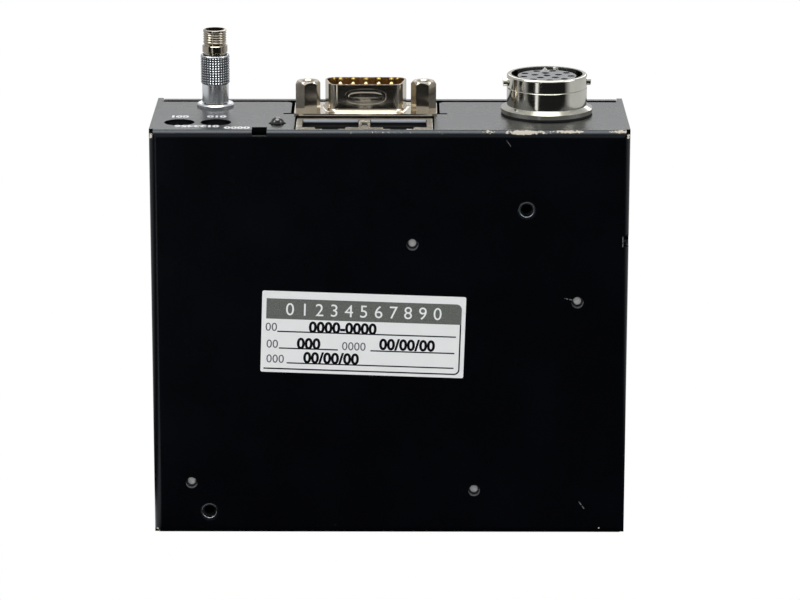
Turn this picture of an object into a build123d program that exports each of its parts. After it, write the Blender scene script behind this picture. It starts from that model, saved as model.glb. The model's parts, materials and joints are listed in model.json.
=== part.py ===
from build123d import *
import os
from math import cos, radians, sin, tan

# Electronics module of a mass flow meter: a folded sheet-metal box with its connectors on top.
# Millimetres. +X is to the right of the labelled face, +Y goes away from it, +Z is up.
# The origin is the middle of the box's underside.

# General fits
fit = 0.04                      # gap between pieces that are pressed or soldered together
running = 0.05                  # radial gap of a turning or sliding piece

# Box
box_width = 102.0
box_height = 89.5
sheet = 1.2                     # steel sheet of the tray and the cover
bend_radius = 1.6               # outside radius of the front folds
corner_notch = 0.9              # relief cut where two folds meet
rear_room = 6.35                # from the nine-pin flange to the back of the box

# Rear cover
cover_return = 2.0              # depth of the cover's folded edge
cover_bend = 0.5                # outside radius of the cover's folds
cover_drop = 0.1                # the cover sits this much below the tray's edges
cover_gap = 0.15                # side gap between cover and tray
lip_gap = 2.2                   # open slot between the top wall and the cover
cover_tab_reach = 9.0
cover_tab_width = 9.0
cover_screw_inset = 13.0        # screws from the top and bottom of the box
cover_screw_radius = 1.25
cover_screw_head_radius = 2.3
cover_screw_length = 4.2

# Network jacks, a shielded pair of eight-way sockets that open upwards
jacks_from_left = 30.9          # left side of the jacks
jack_front_gap = 0.25
jack_width = 29.4
jack_thickness = 13.4
jack_length = 18.0
jack_drop = 0.3
shield_sheet = 0.3
port_pitch = 14.5
port_width = 11.95
port_depth = 13.0
port_front = 5.0                # from the box's front face to the wide part of each port
port_thickness = 6.7
port_lead_in = 1.0              # extra room at the mouth, above the contact comb
port_lead_in_depth = 0.95
latch_width = 6.3
latch_depth = 1.7
latch_tip_width = 3.3
latch_tip_depth = 0.9
contacts_per_port = 8
contact_pitch = 1.02
contact_size = 0.35
wire_top_depth = 2.2
wire_foot_depth = 10.5
wire_lean = 1.5

# Main board, parallel to the labelled face
board_sheet = 1.6
board_gap = 0.05                # from the jacks to the board
board_side_gap = 1.5
board_bottom = 3.0
board_top_gap = 1.6
board_notch_below_top = 20.0    # notch that clears the round receptacle
board_notch_margin = 4.2

# Nine-pin plug connector
nine_pin_from_left = 45.77
nine_pin_gap = 0.25              # from the jacks to the connector's flange
nine_pin_flange_width = 30.81
nine_pin_flange_depth = 12.55
nine_pin_flange_sheet = 0.45
nine_pin_shell_width = 18.5     # across the sharp corners of the D
nine_pin_shell_depth = 8.8
nine_pin_shell_wall = 0.4
nine_pin_shell_height = 6.4
nine_pin_foot_radius = 0.8
shell_dimple_length = 7.6
shell_dimple_height = 2.2
shell_dimple_depth = 0.12
nine_pin_slant = 10.0
nine_pin_corner = 2.4
nine_pin_pitch = 2.77
nine_pin_row_gap = 2.84
pin_radius = 0.5
pin_tip_height = 5.9
tail_radius = 0.35
front_row_pins = 4
back_row_pins = 5
front_tail_drop = 8.0           # tails turn into the main board this far below the top of the box
back_tail_drop = 10.8
jackscrew_spacing = 24.99
jackscrew_flats = 4.76
jackscrew_top = 6.5             # above the top of the box
jackscrew_stud_radius = 1.42
jackscrew_thread_radius = 1.2
jackscrew_thread_depth = 5.0
jackscrew_countersink = 0.3
insert_radius = 2.3
insert_length = 5.2
bracket_depth = 10.2
bracket_plate = 3.0
bracket_height = 12.0
bracket_leg_width = 5.8
bracket_step = 0.8
pin_shoulder = 1.0              # straight part of each pin below the bracket's plate
insulator_rise = 0.9            # insulator above the top of the box

# Switch board with the two address switches, the zero switch and the status lamp
switch_board_below_top = 7.0
switch_board_margin = 0.6
low_digit_from_left = 6.1
digit_pitch = 7.8
digit_depth = 8.3               # from the front face
digit_hole_radius = 3.25
digit_body = 7.3
digit_body_height = 5.0
rotor_radius = 2.3
rotor_height = 3.2
rotor_rise = 0.3
zero_from_left = 23.4
zero_depth = 3.3
zero_slot_width = 3.2
zero_slot_length = 3.5
zero_slot_drop = 1.25
zero_body_width = 6.0
zero_body_thickness = 3.5
zero_body_height = 3.5
plunger_width = 2.6
plunger_thickness = 1.3
plunger_top = 2.0               # below the top of the box
plunger_seat = 1.5
plunger_travel = 0.25
lamp_from_left = 27.03
lamp_depth = 7.4
lamp_hole_radius = 1.85
lamp_radius = 1.5
lamp_rim_radius = 1.9
lamp_rise = 1.4                 # top of the lamp above the box
lamp_length = 5.3

# Push-pull coaxial receptacle with its cable plug
coax_from_left = 13.0
coax_depth = 25.6
coax_flange_radius = 4.03
coax_flange_height = 0.75
coax_flange_chamfer = 0.25
sleeve_bottom = 0.95
coax_thread_radius = 3.45
coax_thread_length = 9.0
coax_bore_radius = 2.5
coax_nut_flats = 8.6
coax_nut_height = 2.0
plug_nose_radius = 2.42
plug_nose_depth = 5.0
plug_collar_radius = 2.72
plug_collar_bottom = 11.95
plug_collar_top = 13.55
plug_thread_radius = 2.53
plug_top = 16.95
plug_bore_radius = 2.08
plug_bore_depth = 6.0           # bore floor and insulator below the underside of the collar
plug_insulator_depth = 8.0
plug_nose_wall = 0.54
sleeve_radius = 3.2
sleeve_smooth_radius = 2.89
sleeve_step = 5.04
sleeve_top = 11.45
sleeve_travel = 1.2
knurl_rows = 11
knurl_depth = 0.25
coax_insulator_radius = 1.6
coax_pin_radius = 0.45
coax_contact_wall = 0.25
coax_contact_reach = 2.0        # beyond the lower end of the body
coax_contact_rise = 2.0         # into the plug
coax_contact_floor = 1.0
coax_socket_gap = 0.5           # from the plug's nose to the insulator

# Round bayonet receptacle
round_room_share = 0.6878       # of the free width beside its nut, the part on its left
round_depth = 18.72
round_turn = 4.5                # the receptacle stands turned by this angle
gasket_sheet = 0.4
round_flange_radius = 9.9
round_flange_sheet = 0.9
round_shoulder = 0.7            # height of the cone between flange and barrel
round_barrel_radius = 8.65
round_bore_radius = 7.7
round_top = 8.65                # above the top of the box
round_rim = 0.4
round_thread_radius = 8.5
round_thread_length = 9.5
round_nut_flats = 19.0
round_nut_height = 2.4
groove_height = 5.8
groove_size = 0.12
insert_nose_radius = 6.3
insert_top = 8.2
insert_shoulder = 1.6
insert_lift = 1.0               # from the lower end of the shell to the insert
socket_hole_radius = 0.78
socket_radius = 0.7
socket_tail = 2.7               # sockets reach this far below the insert
socket_wall = 0.22
socket_bore_depth = 5.0
socket_drop = 1.0               # from the face of the insert to the sockets
outer_sockets = 9
outer_socket_ring = 5.2
inner_sockets = 5
inner_socket_ring = 2.7
pointer_ring = 4.1
pointer_width = 1.7
pointer_depth = 0.9
pointer_height = 0.95
outer_socket_start = 74.0
inner_socket_start = 93.0
bayonet_radius = 0.88
bayonet_reach = 0.85            # beyond the barrel
bayonet_height = 6.9

# Pieces on the main board and the leads to the receptacles; places are from the left or the right
# edge of the box and below its top, except that the sensor header's is above the bottom
processor_place = (33.0, 41.5)   # from the left
processor_size = 14.0
processor_sheet = 1.4
crystal_place = (33.0, 55.5)     # from the left
crystal_length = 11.0
crystal_width = 4.6
crystal_height = 3.5
driver_places = [(61.0, 37.5), (61.0, 51.5)]            # from the left
driver_length = 10.3
driver_width = 7.5
driver_height = 2.4
capacitor_places = [(21.0, 67.5), (12.5, 67.5), (21.0, 59.0)]      # from the right
capacitor_radius = 3.15
capacitor_height = 7.7
coil_place = (11.0, 53.5)        # from the right
coil_size = 10.0
coil_height = 4.3
transformer_from_left = 45.6
transformer_width = 13.0
transformer_height = 12.5
transformer_thickness = 6.4
transformer_gap = 3.0           # below the jacks
sensor_header_place = (46.0, 9.0)
header_length = 20.3
header_width = 5.4
header_height = 8.6
header_pins = 8
header_pitch = 2.3
header_pin_radius = 0.32
plug_block_height = 3.4
ribbon_width = 12.0
ribbon_sheet = 0.9
ribbon_bend = 3.0
ribbon_header_drop = 27.0       # below the top of the box
receptacle_board_sheet = 1.2
receptacle_board_radius = 7.2
receptacle_board_gap = 0.5
coax_lead_radius = 0.4
coax_lead_drop = 2.5
coax_lead_bend = 2.0

# Standoffs, mounting nuts and the opening at the right fold
standoff_head_radius = 2.6
standoff_flats = 4.6
standoff_bore_radius = 1.3
upper_standoff = (55.84, 24.85)                        # from the left edge, below the top
right_standoff = (10.8, 37.58)                         # from the right edge, below the top
lower_standoffs = [(8.09, 11.47), (69.34, 9.74)]       # from the left edge, above the bottom
nut_hole_radius = 2.05
nut_recess = 0.3
nut_body_radius = 3.1
nut_body_height = 2.0
nut_thread_radius = 1.3
upper_mount = (80.15, 17.27)                           # from the left edge, below the top
lower_mount = (11.95, 4.99)                            # from the left edge, above the bottom
board_screw_radius = 1.25
board_screw_tip_depth = 1.9                            # the tip stops this far behind the front face
board_screw_head_radius = 2.7
board_screw_head_height = 2.0
edge_hole_radius = 1.4
edge_hole_below_top = 24.0
edge_hole_depth = 1.0

# Label
label_width = 43.6
label_height = 18.0
label_sheet = 0.12
label_tilt = -1.9
label_from_left = 45.34
label_above_bottom = 44.9
label_corner = 0.4

# Positions that follow from the values above
left_x = -box_width / 2
right_x = box_width / 2
top_z = box_height
jack_rear = sheet + jack_front_gap + jack_thickness
nine_pin_depth = jack_rear + nine_pin_gap + nine_pin_flange_depth / 2
box_depth = nine_pin_depth + nine_pin_flange_depth / 2 + rear_room
front_y = -box_depth / 2
back_y = box_depth / 2
lip_y = back_y - cover_return - lip_gap
board_front_y = front_y + jack_rear + board_gap
board_rear_y = board_front_y + board_sheet
jack_x = left_x + jacks_from_left + jack_width / 2
jack_y = front_y + sheet + jack_front_gap + jack_thickness / 2
nine_pin_x = left_x + nine_pin_from_left
nine_pin_y = front_y + nine_pin_depth
coax_x = left_x + coax_from_left
coax_y = front_y + coax_depth
row_right = max(nine_pin_x + nine_pin_flange_width / 2, jack_x + jack_width / 2)
round_free_width = right_x - sheet - row_right - round_nut_flats
round_x = row_right + round_free_width * round_room_share + round_nut_flats / 2
round_y = front_y + round_depth
lamp_x = left_x + lamp_from_left
lamp_y = front_y + lamp_depth
zero_x = left_x + zero_from_left
zero_y = front_y + zero_depth
digit_y = front_y + digit_depth
low_digit_x = left_x + low_digit_from_left
high_digit_x = low_digit_x + digit_pitch
switch_board_top = top_z - switch_board_below_top
standoff_places = [
    (left_x + upper_standoff[0], top_z - upper_standoff[1]),
    (right_x - right_standoff[0], top_z - right_standoff[1]),
]
standoff_places += [(left_x + x, z) for x, z in lower_standoffs]
mount_places = [
    (left_x + upper_mount[0], top_z - upper_mount[1]),
    (left_x + lower_mount[0], lower_mount[1]),
]
jackscrew_xs = [nine_pin_x - jackscrew_spacing / 2, nine_pin_x + jackscrew_spacing / 2]
cover_screw_heights = [cover_screw_inset, top_z - cover_screw_inset]
cover_screw_y = back_y - (cover_tab_reach + cover_return) / 2
coax_bottom = -sheet - coax_thread_length
coax_contact_bottom = coax_bottom - coax_contact_reach
coax_lead_z = top_z + coax_contact_bottom - coax_lead_drop - coax_lead_bend
round_bottom = -sheet - round_thread_length
insert_bottom = round_bottom + insert_lift
socket_length = insert_top - socket_drop - insert_bottom + socket_tail

standing = (Align.CENTER, Align.CENTER, Align.MIN)
hanging = (Align.CENTER, Align.CENTER, Align.MAX)


def facing_front(y):
    """Drawing plane at y whose normal points at the viewer; its axes are X and Z."""
    return Plane.XZ.offset(-y)


def level(z):
    """Drawing plane at height z."""
    return Plane.XY.offset(z)


def turned_at(x, y, z):
    """Profile plane and axis of a turned piece at x, y, its heights measured from z."""
    profile = Plane(origin=(x, y, z), x_dir=(1, 0, 0), z_dir=(0, -1, 0))
    return profile, Axis((x, y, z), (0, 0, 1))


def nine_pin_outline(clearance=0.0):
    """Corner points of the connector's D shape, its wide side to the back, grown by clearance."""
    half_depth = nine_pin_shell_depth / 2 + clearance
    slope = tan(radians(nine_pin_slant))
    middle = nine_pin_shell_width / 2 - nine_pin_shell_depth / 2 * slope
    middle += clearance / cos(radians(nine_pin_slant))
    wide = middle + half_depth * slope
    narrow = middle - half_depth * slope
    return [(-narrow, -half_depth), (narrow, -half_depth), (wide, half_depth), (-wide, half_depth)]


def d_shape(clearance=0.0):
    """Rounded D face of the nine-pin connector, for use inside a sketch."""
    corner = max(nine_pin_corner + clearance, 0.2)
    with BuildSketch(mode=Mode.PRIVATE) as face:
        Polygon(*nine_pin_outline(clearance), align=None)
        fillet(face.vertices(), corner)
    return face.sketch


os.makedirs("parts", exist_ok=True)

# Tray: front face and four walls folded from one sheet, welded at the corners
with BuildPart() as chassis_tray:
    with BuildSketch(facing_front(front_y)):
        with Locations((0, box_height / 2)):
            Rectangle(box_width, box_height)
    extrude(amount=-box_depth)
    fillet(chassis_tray.faces().sort_by(Axis.Y)[0].edges(), bend_radius)
    with BuildSketch(facing_front(front_y + sheet)):
        with Locations((0, box_height / 2)):
            Rectangle(box_width - 2 * sheet, box_height - 2 * sheet)
    extrude(amount=-box_depth, mode=Mode.SUBTRACT)
    fillet(chassis_tray.faces().filter_by(Axis.Y).sort_by(Axis.Y)[1].edges(), bend_radius - sheet)
    # Relief cuts where the folds meet
    with Locations(*[(x, front_y, z) for x in (left_x, right_x) for z in (0, top_z)]):
        Box(2 * corner_notch, 2 * (bend_radius + fit), 2 * corner_notch, mode=Mode.SUBTRACT)
    # The top and bottom walls stop short of the back, the side walls reach it
    with Locations(*[(0, (lip_y + back_y) / 2, z) for z in (0, top_z)]):
        Box(box_width - 2 * sheet, back_y - lip_y, 2 * sheet, mode=Mode.SUBTRACT)
    # Stepped cut-out that lets the two rows of connectors through the top wall
    cut_left = nine_pin_x - nine_pin_flange_width / 2 - 0.75
    cut_right = nine_pin_x + nine_pin_flange_width / 2 + 0.6
    cut_step_y = front_y + sheet + jack_front_gap + jack_thickness + 2.1
    slit_length = 1.6
    slit_width = 1.1
    jack_margin = 0.2
    cut_front_y = front_y + sheet + jack_front_gap - 0.1
    with BuildSketch(level(top_z)):
        with Locations(((cut_left + cut_right) / 2, (cut_step_y + lip_y) / 2)):
            Rectangle(cut_right - cut_left, lip_y - cut_step_y)
        with Locations(((cut_left + cut_right) / 2, cut_step_y + slit_width / 2)):
            Rectangle(cut_right - cut_left + 2 * slit_length, slit_width)
        with Locations((jack_x, (cut_front_y + cut_step_y) / 2)):
            Rectangle(jack_width + 2 * jack_margin, cut_step_y - cut_front_y)
        # Slot through the fold over the zero switch
        with Locations((zero_x, front_y)):
            Rectangle(zero_slot_width, 2 * zero_slot_length)
        with Locations((low_digit_x, digit_y), (high_digit_x, digit_y)):
            Circle(digit_hole_radius)
        with Locations((lamp_x, lamp_y)):
            Circle(lamp_hole_radius)
        with Locations((coax_x, coax_y)):
            Circle(coax_thread_radius + fit)
        with Locations((round_x, round_y)):
            Circle(round_thread_radius + fit)
    extrude(amount=-zero_slot_drop, mode=Mode.SUBTRACT)
    rear_corners = [Vector(x, lip_y, top_z - sheet / 2) for x in (cut_left, cut_right)]
    upright = chassis_tray.edges().filter_by(Axis.Z)
    fillet([upright.sort_by_distance(corner)[0] for corner in rear_corners], 1.5)
    # Holes in the front face for the standoffs and the mounting nuts
    with BuildSketch(facing_front(front_y)):
        with Locations(*standoff_places):
            Circle(standoff_head_radius)
        with Locations(*mount_places):
            Circle(nut_hole_radius)
    extrude(amount=-sheet, mode=Mode.SUBTRACT)
    # Hole in the right wall that bites into the front fold
    with Locations(Location((right_x, front_y + edge_hole_depth, top_z - edge_hole_below_top), (0, 90, 0))):
        Hole(edge_hole_radius, depth=sheet)
    # Countersunk holes for the cover screws
    for side_x, turn in ((left_x, -90), (right_x, 90)):
        with Locations(*[Location((side_x, cover_screw_y, z), (0, turn, 0)) for z in cover_screw_heights]):
            CounterSinkHole(
                cover_screw_radius + fit, cover_screw_head_radius + fit, depth=sheet, counter_sink_angle=90
            )
chassis_tray.part.label = "chassis_tray"
export_step(chassis_tray.part, "parts/chassis_tray.step")

# Rear cover: a shallow folded lid between the side walls, with tapped tabs
cover_width = box_width - 2 * sheet - 2 * cover_gap
cover_height = box_height - 2 * cover_drop
with BuildPart() as rear_cover:
    with BuildSketch(facing_front(back_y)):
        with Locations((0, box_height / 2)):
            Rectangle(cover_width, cover_height)
    extrude(amount=cover_return)
    fillet(rear_cover.faces().sort_by(Axis.Y)[-1].edges(), cover_bend)
    with BuildSketch(facing_front(back_y - sheet)):
        with Locations((0, box_height / 2)):
            Rectangle(cover_width - 2 * sheet, cover_height - 2 * sheet)
    extrude(amount=cover_return, mode=Mode.SUBTRACT)
    tab_y = back_y - (cover_tab_reach + sheet) / 2
    for side in (-1, 1):
        with Locations(*[(side * (cover_width - sheet) / 2, tab_y, z) for z in cover_screw_heights]):
            Box(sheet, cover_tab_reach - sheet, cover_tab_width)
        side_x = side * cover_width / 2
        turn = (0, side * 90, 0)
        with Locations(*[Location((side_x, cover_screw_y, z), turn) for z in cover_screw_heights]):
            Hole(cover_screw_radius + fit, depth=sheet)
rear_cover.part.label = "rear_cover"
export_step(rear_cover.part, "parts/rear_cover.step")

# Countersunk cover screws, all four alike
with BuildPart() as cover_screw:
    with BuildSketch(Plane.XZ):
        with BuildLine():
            cone = cover_screw_head_radius - cover_screw_radius
            Polyline(
                (0, 0),
                (cover_screw_head_radius, 0),
                (cover_screw_radius, -cone),
                (cover_screw_radius, -cover_screw_length + 0.3),
                (cover_screw_radius - 0.3, -cover_screw_length),
                (0, -cover_screw_length),
                close=True,
            )
        make_face()
    revolve(axis=Axis.Z)
    with BuildSketch(level(0)):
        RegularPolygon(0.8, 6, major_radius=False)
    extrude(amount=-0.8, mode=Mode.SUBTRACT)
with BuildPart() as cover_screws:
    for side_x, turn in ((left_x, -90), (right_x, 90)):
        for z in cover_screw_heights:
            with Locations(Location((side_x, cover_screw_y, z), (0, turn, 0))):
                add(cover_screw.part)
cover_screws.part.label = "cover_screws"
export_step(cover_screws.part, "parts/cover_screws.step")

# Clinch standoffs pressed into the front face: flush round head, hexagonal post, open bore
with BuildPart() as board_standoffs:
    with BuildSketch(facing_front(front_y)):
        with Locations(*standoff_places):
            Circle(standoff_head_radius - fit)
    extrude(amount=-sheet)
    with BuildSketch(facing_front(front_y + sheet)):
        with Locations(*standoff_places):
            RegularPolygon(standoff_flats / 2, 6, major_radius=False)
    extrude(amount=-(board_front_y - front_y - sheet))
    with BuildSketch(facing_front(front_y)):
        with Locations(*standoff_places):
            Circle(standoff_bore_radius)
    extrude(amount=-(board_front_y - front_y), mode=Mode.SUBTRACT)
board_standoffs.part.label = "board_standoffs"
export_step(board_standoffs.part, "parts/board_standoffs.step")

# Clinch nuts behind the two larger front holes, where the box is screwed to its carrier
with BuildPart() as mounting_nuts:
    with BuildSketch(facing_front(front_y + nut_recess)):
        with Locations(*mount_places):
            Circle(nut_hole_radius - fit)
    extrude(amount=-(sheet - nut_recess))
    with BuildSketch(facing_front(front_y + sheet)):
        with Locations(*mount_places):
            Circle(nut_body_radius)
    extrude(amount=-nut_body_height)
    with BuildSketch(facing_front(front_y)):
        with Locations(*mount_places):
            Circle(nut_thread_radius)
    extrude(amount=-(sheet + nut_body_height), mode=Mode.SUBTRACT)
mounting_nuts.part.label = "mounting_nuts"
export_step(mounting_nuts.part, "parts/mounting_nuts.step")

# Pan-head screws that come through the board from behind; their tips show in the front holes
with BuildPart() as board_screw:
    Cylinder(board_screw_head_radius, board_screw_head_height, align=standing)
    fillet(board_screw.faces().sort_by(Axis.Z)[-1].edges(), 0.8)
    with BuildSketch(level(board_screw_head_height)):
        Rectangle(2.8, 0.6)
        Rectangle(0.6, 2.8)
    extrude(amount=-1.1, mode=Mode.SUBTRACT)
    screw_reach = board_rear_y - front_y - board_screw_tip_depth
    Cylinder(board_screw_radius, screw_reach, align=hanging)
    chamfer(board_screw.faces().sort_by(Axis.Z)[0].edges(), 0.25)
with BuildPart() as board_screws:
    with Locations(*[Location((x, board_rear_y, z), (-90, 0, 0)) for x, z in standoff_places]):
        add(board_screw.part)
board_screws.part.label = "board_screws"
export_step(board_screws.part, "parts/board_screws.step")

# Paper label, stuck on a little crooked
with BuildPart() as paper_label:
    with BuildSketch(facing_front(front_y)):
        with Locations(Location((left_x + label_from_left, label_above_bottom, 0), (0, 0, label_tilt))):
            RectangleRounded(label_width, label_height, label_corner)
    extrude(amount=label_sheet)
paper_label.part.label = "paper_label"
export_step(paper_label.part, "parts/paper_label.step")

# Main board: stands on the standoffs, notched at the top right around the round receptacle
board_left = left_x + sheet + board_side_gap
board_right = right_x - sheet - board_side_gap
notch_x = round_x - round_thread_radius - board_notch_margin
notch_z = top_z - board_notch_below_top
board_tab_width = 5.0
board_tab_xs = [low_digit_x, high_digit_x + digit_pitch]
pin_rows = [
    (nine_pin_y - nine_pin_row_gap / 2, front_row_pins, front_tail_drop),
    (nine_pin_y + nine_pin_row_gap / 2, back_row_pins, back_tail_drop),
]
with BuildPart() as main_board:
    with BuildSketch(facing_front(board_front_y)):
        with BuildLine():
            Polyline(
                (board_left, board_bottom),
                (board_right, board_bottom),
                (board_right, notch_z),
                (notch_x, notch_z),
                (notch_x, top_z - board_top_gap),
                (board_left, top_z - board_top_gap),
                close=True,
            )
        make_face()
        with Locations(*standoff_places):
            Circle(board_screw_radius + 0.25, mode=Mode.SUBTRACT)
        # Slots for the tabs of the switch board
        with Locations(*[(x, switch_board_top - board_sheet / 2) for x in board_tab_xs]):
            Rectangle(board_tab_width + 2 * fit, board_sheet + 2 * fit, mode=Mode.SUBTRACT)
        # Hole for the lead of the coaxial receptacle
        with Locations((coax_x, coax_lead_z)):
            Circle(coax_lead_radius + fit, mode=Mode.SUBTRACT)
        # Plated holes for the nine connector tails
        for _, count, drop in pin_rows:
            with Locations((nine_pin_x, top_z - drop)):
                with GridLocations(nine_pin_pitch, 1, count, 1):
                    Circle(tail_radius + fit, mode=Mode.SUBTRACT)
    extrude(amount=-board_sheet)
main_board.part.label = "main_board"
export_step(main_board.part, "parts/main_board.step")

# Switch board: lies level under the top wall, its two tabs soldered into the main board
switch_board_left = left_x + sheet + switch_board_margin
switch_board_right = jack_x - jack_width / 2 - switch_board_margin
switch_board_front = front_y + sheet + jack_front_gap
lead_radius = 0.25
digit_lead_pitch = 2.54
digit_lead_rows = 5.08
lamp_lead_pitch = 2.54
with BuildPart() as switch_board:
    with BuildSketch(level(switch_board_top - board_sheet)):
        middle_x = (switch_board_left + switch_board_right) / 2
        with Locations((middle_x, (switch_board_front + board_front_y) / 2)):
            Rectangle(switch_board_right - switch_board_left, board_front_y - switch_board_front - 2 * fit)
        with Locations(*[(x, board_front_y + board_sheet / 2 - 0.2) for x in board_tab_xs]):
            Rectangle(board_tab_width, board_sheet + 0.8)
        for x in (low_digit_x, high_digit_x):
            with Locations((x, digit_y)):
                with GridLocations(digit_lead_rows, digit_lead_pitch, 2, 2):
                    Circle(lead_radius + fit, mode=Mode.SUBTRACT)
        with Locations((lamp_x, lamp_y)):
            with GridLocations(lamp_lead_pitch, 1, 2, 1):
                Circle(lead_radius + fit, mode=Mode.SUBTRACT)
    extrude(amount=board_sheet)
switch_board.part.label = "switch_board"
export_step(switch_board.part, "parts/switch_board.step")

# Address switches: square bodies with a screwdriver-slotted rotor each
for digit, digit_x in (("low", low_digit_x), ("high", high_digit_x)):
    rotor_depth = rotor_height - rotor_rise
    rotor_floor = switch_board_top + digit_body_height - rotor_depth
    with BuildPart() as digit_switch:
        with BuildSketch(level(switch_board_top)):
            with Locations((digit_x, digit_y)):
                RectangleRounded(digit_body, digit_body, 0.4)
        extrude(amount=digit_body_height)
        with Locations((digit_x, digit_y, switch_board_top + digit_body_height)):
            Hole(rotor_radius + running, depth=rotor_depth + running)
            with GridLocations(digit_body - 1.2, digit_body - 1.2, 2, 2):
                Hole(0.3, depth=0.3)
    digit_switch.part.label = f"{digit}_digit_switch_body"
    export_step(digit_switch.part, f"parts/{digit}_digit_switch_body.step")
    with BuildPart() as digit_rotor:
        with Locations((digit_x, digit_y, rotor_floor)):
            Cylinder(rotor_radius, rotor_height, align=standing)
        chamfer(digit_rotor.faces().sort_by(Axis.Z)[-1].edges(), 0.2)
        with BuildSketch(level(rotor_floor + rotor_height)):
            with Locations((digit_x, digit_y)):
                Rectangle(0.7, 2 * rotor_radius - 1.2)
                with Locations((0, rotor_radius - 1.5)):
                    RegularPolygon(0.95, 3, rotation=90)
        extrude(amount=-0.9, mode=Mode.SUBTRACT)
    digit_rotor.part.label = f"{digit}_digit_rotor"
    export_step(digit_rotor.part, f"parts/{digit}_digit_rotor.step")

# Solder leads of both address switches
with BuildPart() as digit_switch_leads:
    for x in (low_digit_x, high_digit_x):
        with Locations((x, digit_y, switch_board_top)):
            with GridLocations(digit_lead_rows, digit_lead_pitch, 2, 2):
                Cylinder(lead_radius, board_sheet + 1.0, align=hanging)
digit_switch_leads.part.label = "digit_switch_leads"
export_step(digit_switch_leads.part, "parts/digit_switch_leads.step")

# Zero switch: a small push switch under the slot in the fold
zero_body_top = switch_board_top + zero_body_height
with BuildPart() as zero_switch_body:
    with BuildSketch(level(switch_board_top)):
        with Locations((zero_x, zero_y)):
            RectangleRounded(zero_body_width, zero_body_thickness, 0.3)
    extrude(amount=zero_body_height)
    with BuildSketch(level(zero_body_top)):
        with Locations((zero_x, zero_y)):
            Rectangle(plunger_width + 2 * running, plunger_thickness + 2 * running)
    extrude(amount=-plunger_seat - plunger_travel - running, mode=Mode.SUBTRACT)
zero_switch_body.part.label = "zero_switch_body"
export_step(zero_switch_body.part, "parts/zero_switch_body.step")

with BuildPart() as zero_plunger:
    with BuildSketch(level(zero_body_top - plunger_seat)):
        with Locations((zero_x, zero_y)):
            Rectangle(plunger_width, plunger_thickness)
    extrude(amount=top_z - plunger_top - zero_body_top + plunger_seat)
    chamfer(zero_plunger.faces().sort_by(Axis.Z)[-1].edges(), 0.15)
zero_plunger.part.label = "zero_plunger"
export_step(zero_plunger.part, "parts/zero_plunger.step")

# Status lamp: a domed three-millimetre lamp on a spacer
lamp_base = lamp_rise - lamp_length
lamp_profile, lamp_axis = turned_at(lamp_x, lamp_y, top_z)
with BuildPart() as status_lamp:
    with BuildSketch(lamp_profile):
        with BuildLine():
            Polyline(
                (0, lamp_rise),
                (0, lamp_base),
                (lamp_rim_radius, lamp_base),
                (lamp_rim_radius, lamp_base + 1.0),
                (lamp_radius, lamp_base + 1.0),
                (lamp_radius, lamp_rise - lamp_radius),
            )
            RadiusArc((lamp_radius, lamp_rise - lamp_radius), (0, lamp_rise), -lamp_radius)
        make_face()
    revolve(axis=lamp_axis)
status_lamp.part.label = "status_lamp"
export_step(status_lamp.part, "parts/status_lamp.step")

with BuildPart() as lamp_spacer:
    with BuildSketch(level(switch_board_top)):
        with Locations((lamp_x, lamp_y)):
            Circle(lamp_rim_radius)
            with GridLocations(lamp_lead_pitch, 1, 2, 1):
                Circle(lead_radius + fit, mode=Mode.SUBTRACT)
    extrude(amount=top_z + lamp_base - switch_board_top)
lamp_spacer.part.label = "lamp_spacer"
export_step(lamp_spacer.part, "parts/lamp_spacer.step")

with BuildPart() as lamp_leads:
    with BuildSketch(level(switch_board_top - board_sheet - 1.0)):
        with Locations((lamp_x, lamp_y)):
            with GridLocations(lamp_lead_pitch, 1, 2, 1):
                Circle(lead_radius)
    extrude(amount=top_z + lamp_base - switch_board_top + board_sheet + 1.0)
lamp_leads.part.label = "lamp_leads"
export_step(lamp_leads.part, "parts/lamp_leads.step")

# Nine-pin plug connector: drawn shell with its flange
flange_z = top_z
flange_top = flange_z + nine_pin_flange_sheet
shell_rim = top_z + nine_pin_shell_height
with BuildPart() as nine_pin_shell:
    with BuildSketch(level(flange_z)):
        with Locations((nine_pin_x, nine_pin_y)):
            RectangleRounded(nine_pin_flange_width, nine_pin_flange_depth, 1.0)
    extrude(amount=nine_pin_flange_sheet)
    with BuildSketch(level(flange_top)):
        with Locations((nine_pin_x, nine_pin_y)):
            add(d_shape())
    extrude(amount=shell_rim - flange_top)
    foot = nine_pin_shell.faces().filter_by(Axis.Z).sort_by(Axis.Z)[1].inner_wires()[0].edges()
    fillet(foot, nine_pin_foot_radius)
    with BuildSketch(level(flange_z)):
        with Locations((nine_pin_x, nine_pin_y)):
            add(d_shape(-nine_pin_shell_wall))
    extrude(amount=nine_pin_shell_height, mode=Mode.SUBTRACT)
    with Locations(*[(x, nine_pin_y, flange_top) for x in jackscrew_xs]):
        Hole(jackscrew_stud_radius + 0.1, depth=nine_pin_flange_sheet)
    # Long shallow dimple pressed into the front of the shell
    with BuildSketch(facing_front(nine_pin_y - nine_pin_shell_depth / 2)):
        with Locations((nine_pin_x, (flange_top + nine_pin_foot_radius + shell_rim) / 2)):
            SlotOverall(shell_dimple_length, shell_dimple_height)
    extrude(amount=-shell_dimple_depth, mode=Mode.SUBTRACT)
nine_pin_shell.part.label = "nine_pin_shell"
export_step(nine_pin_shell.part, "parts/nine_pin_shell.step")

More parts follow.
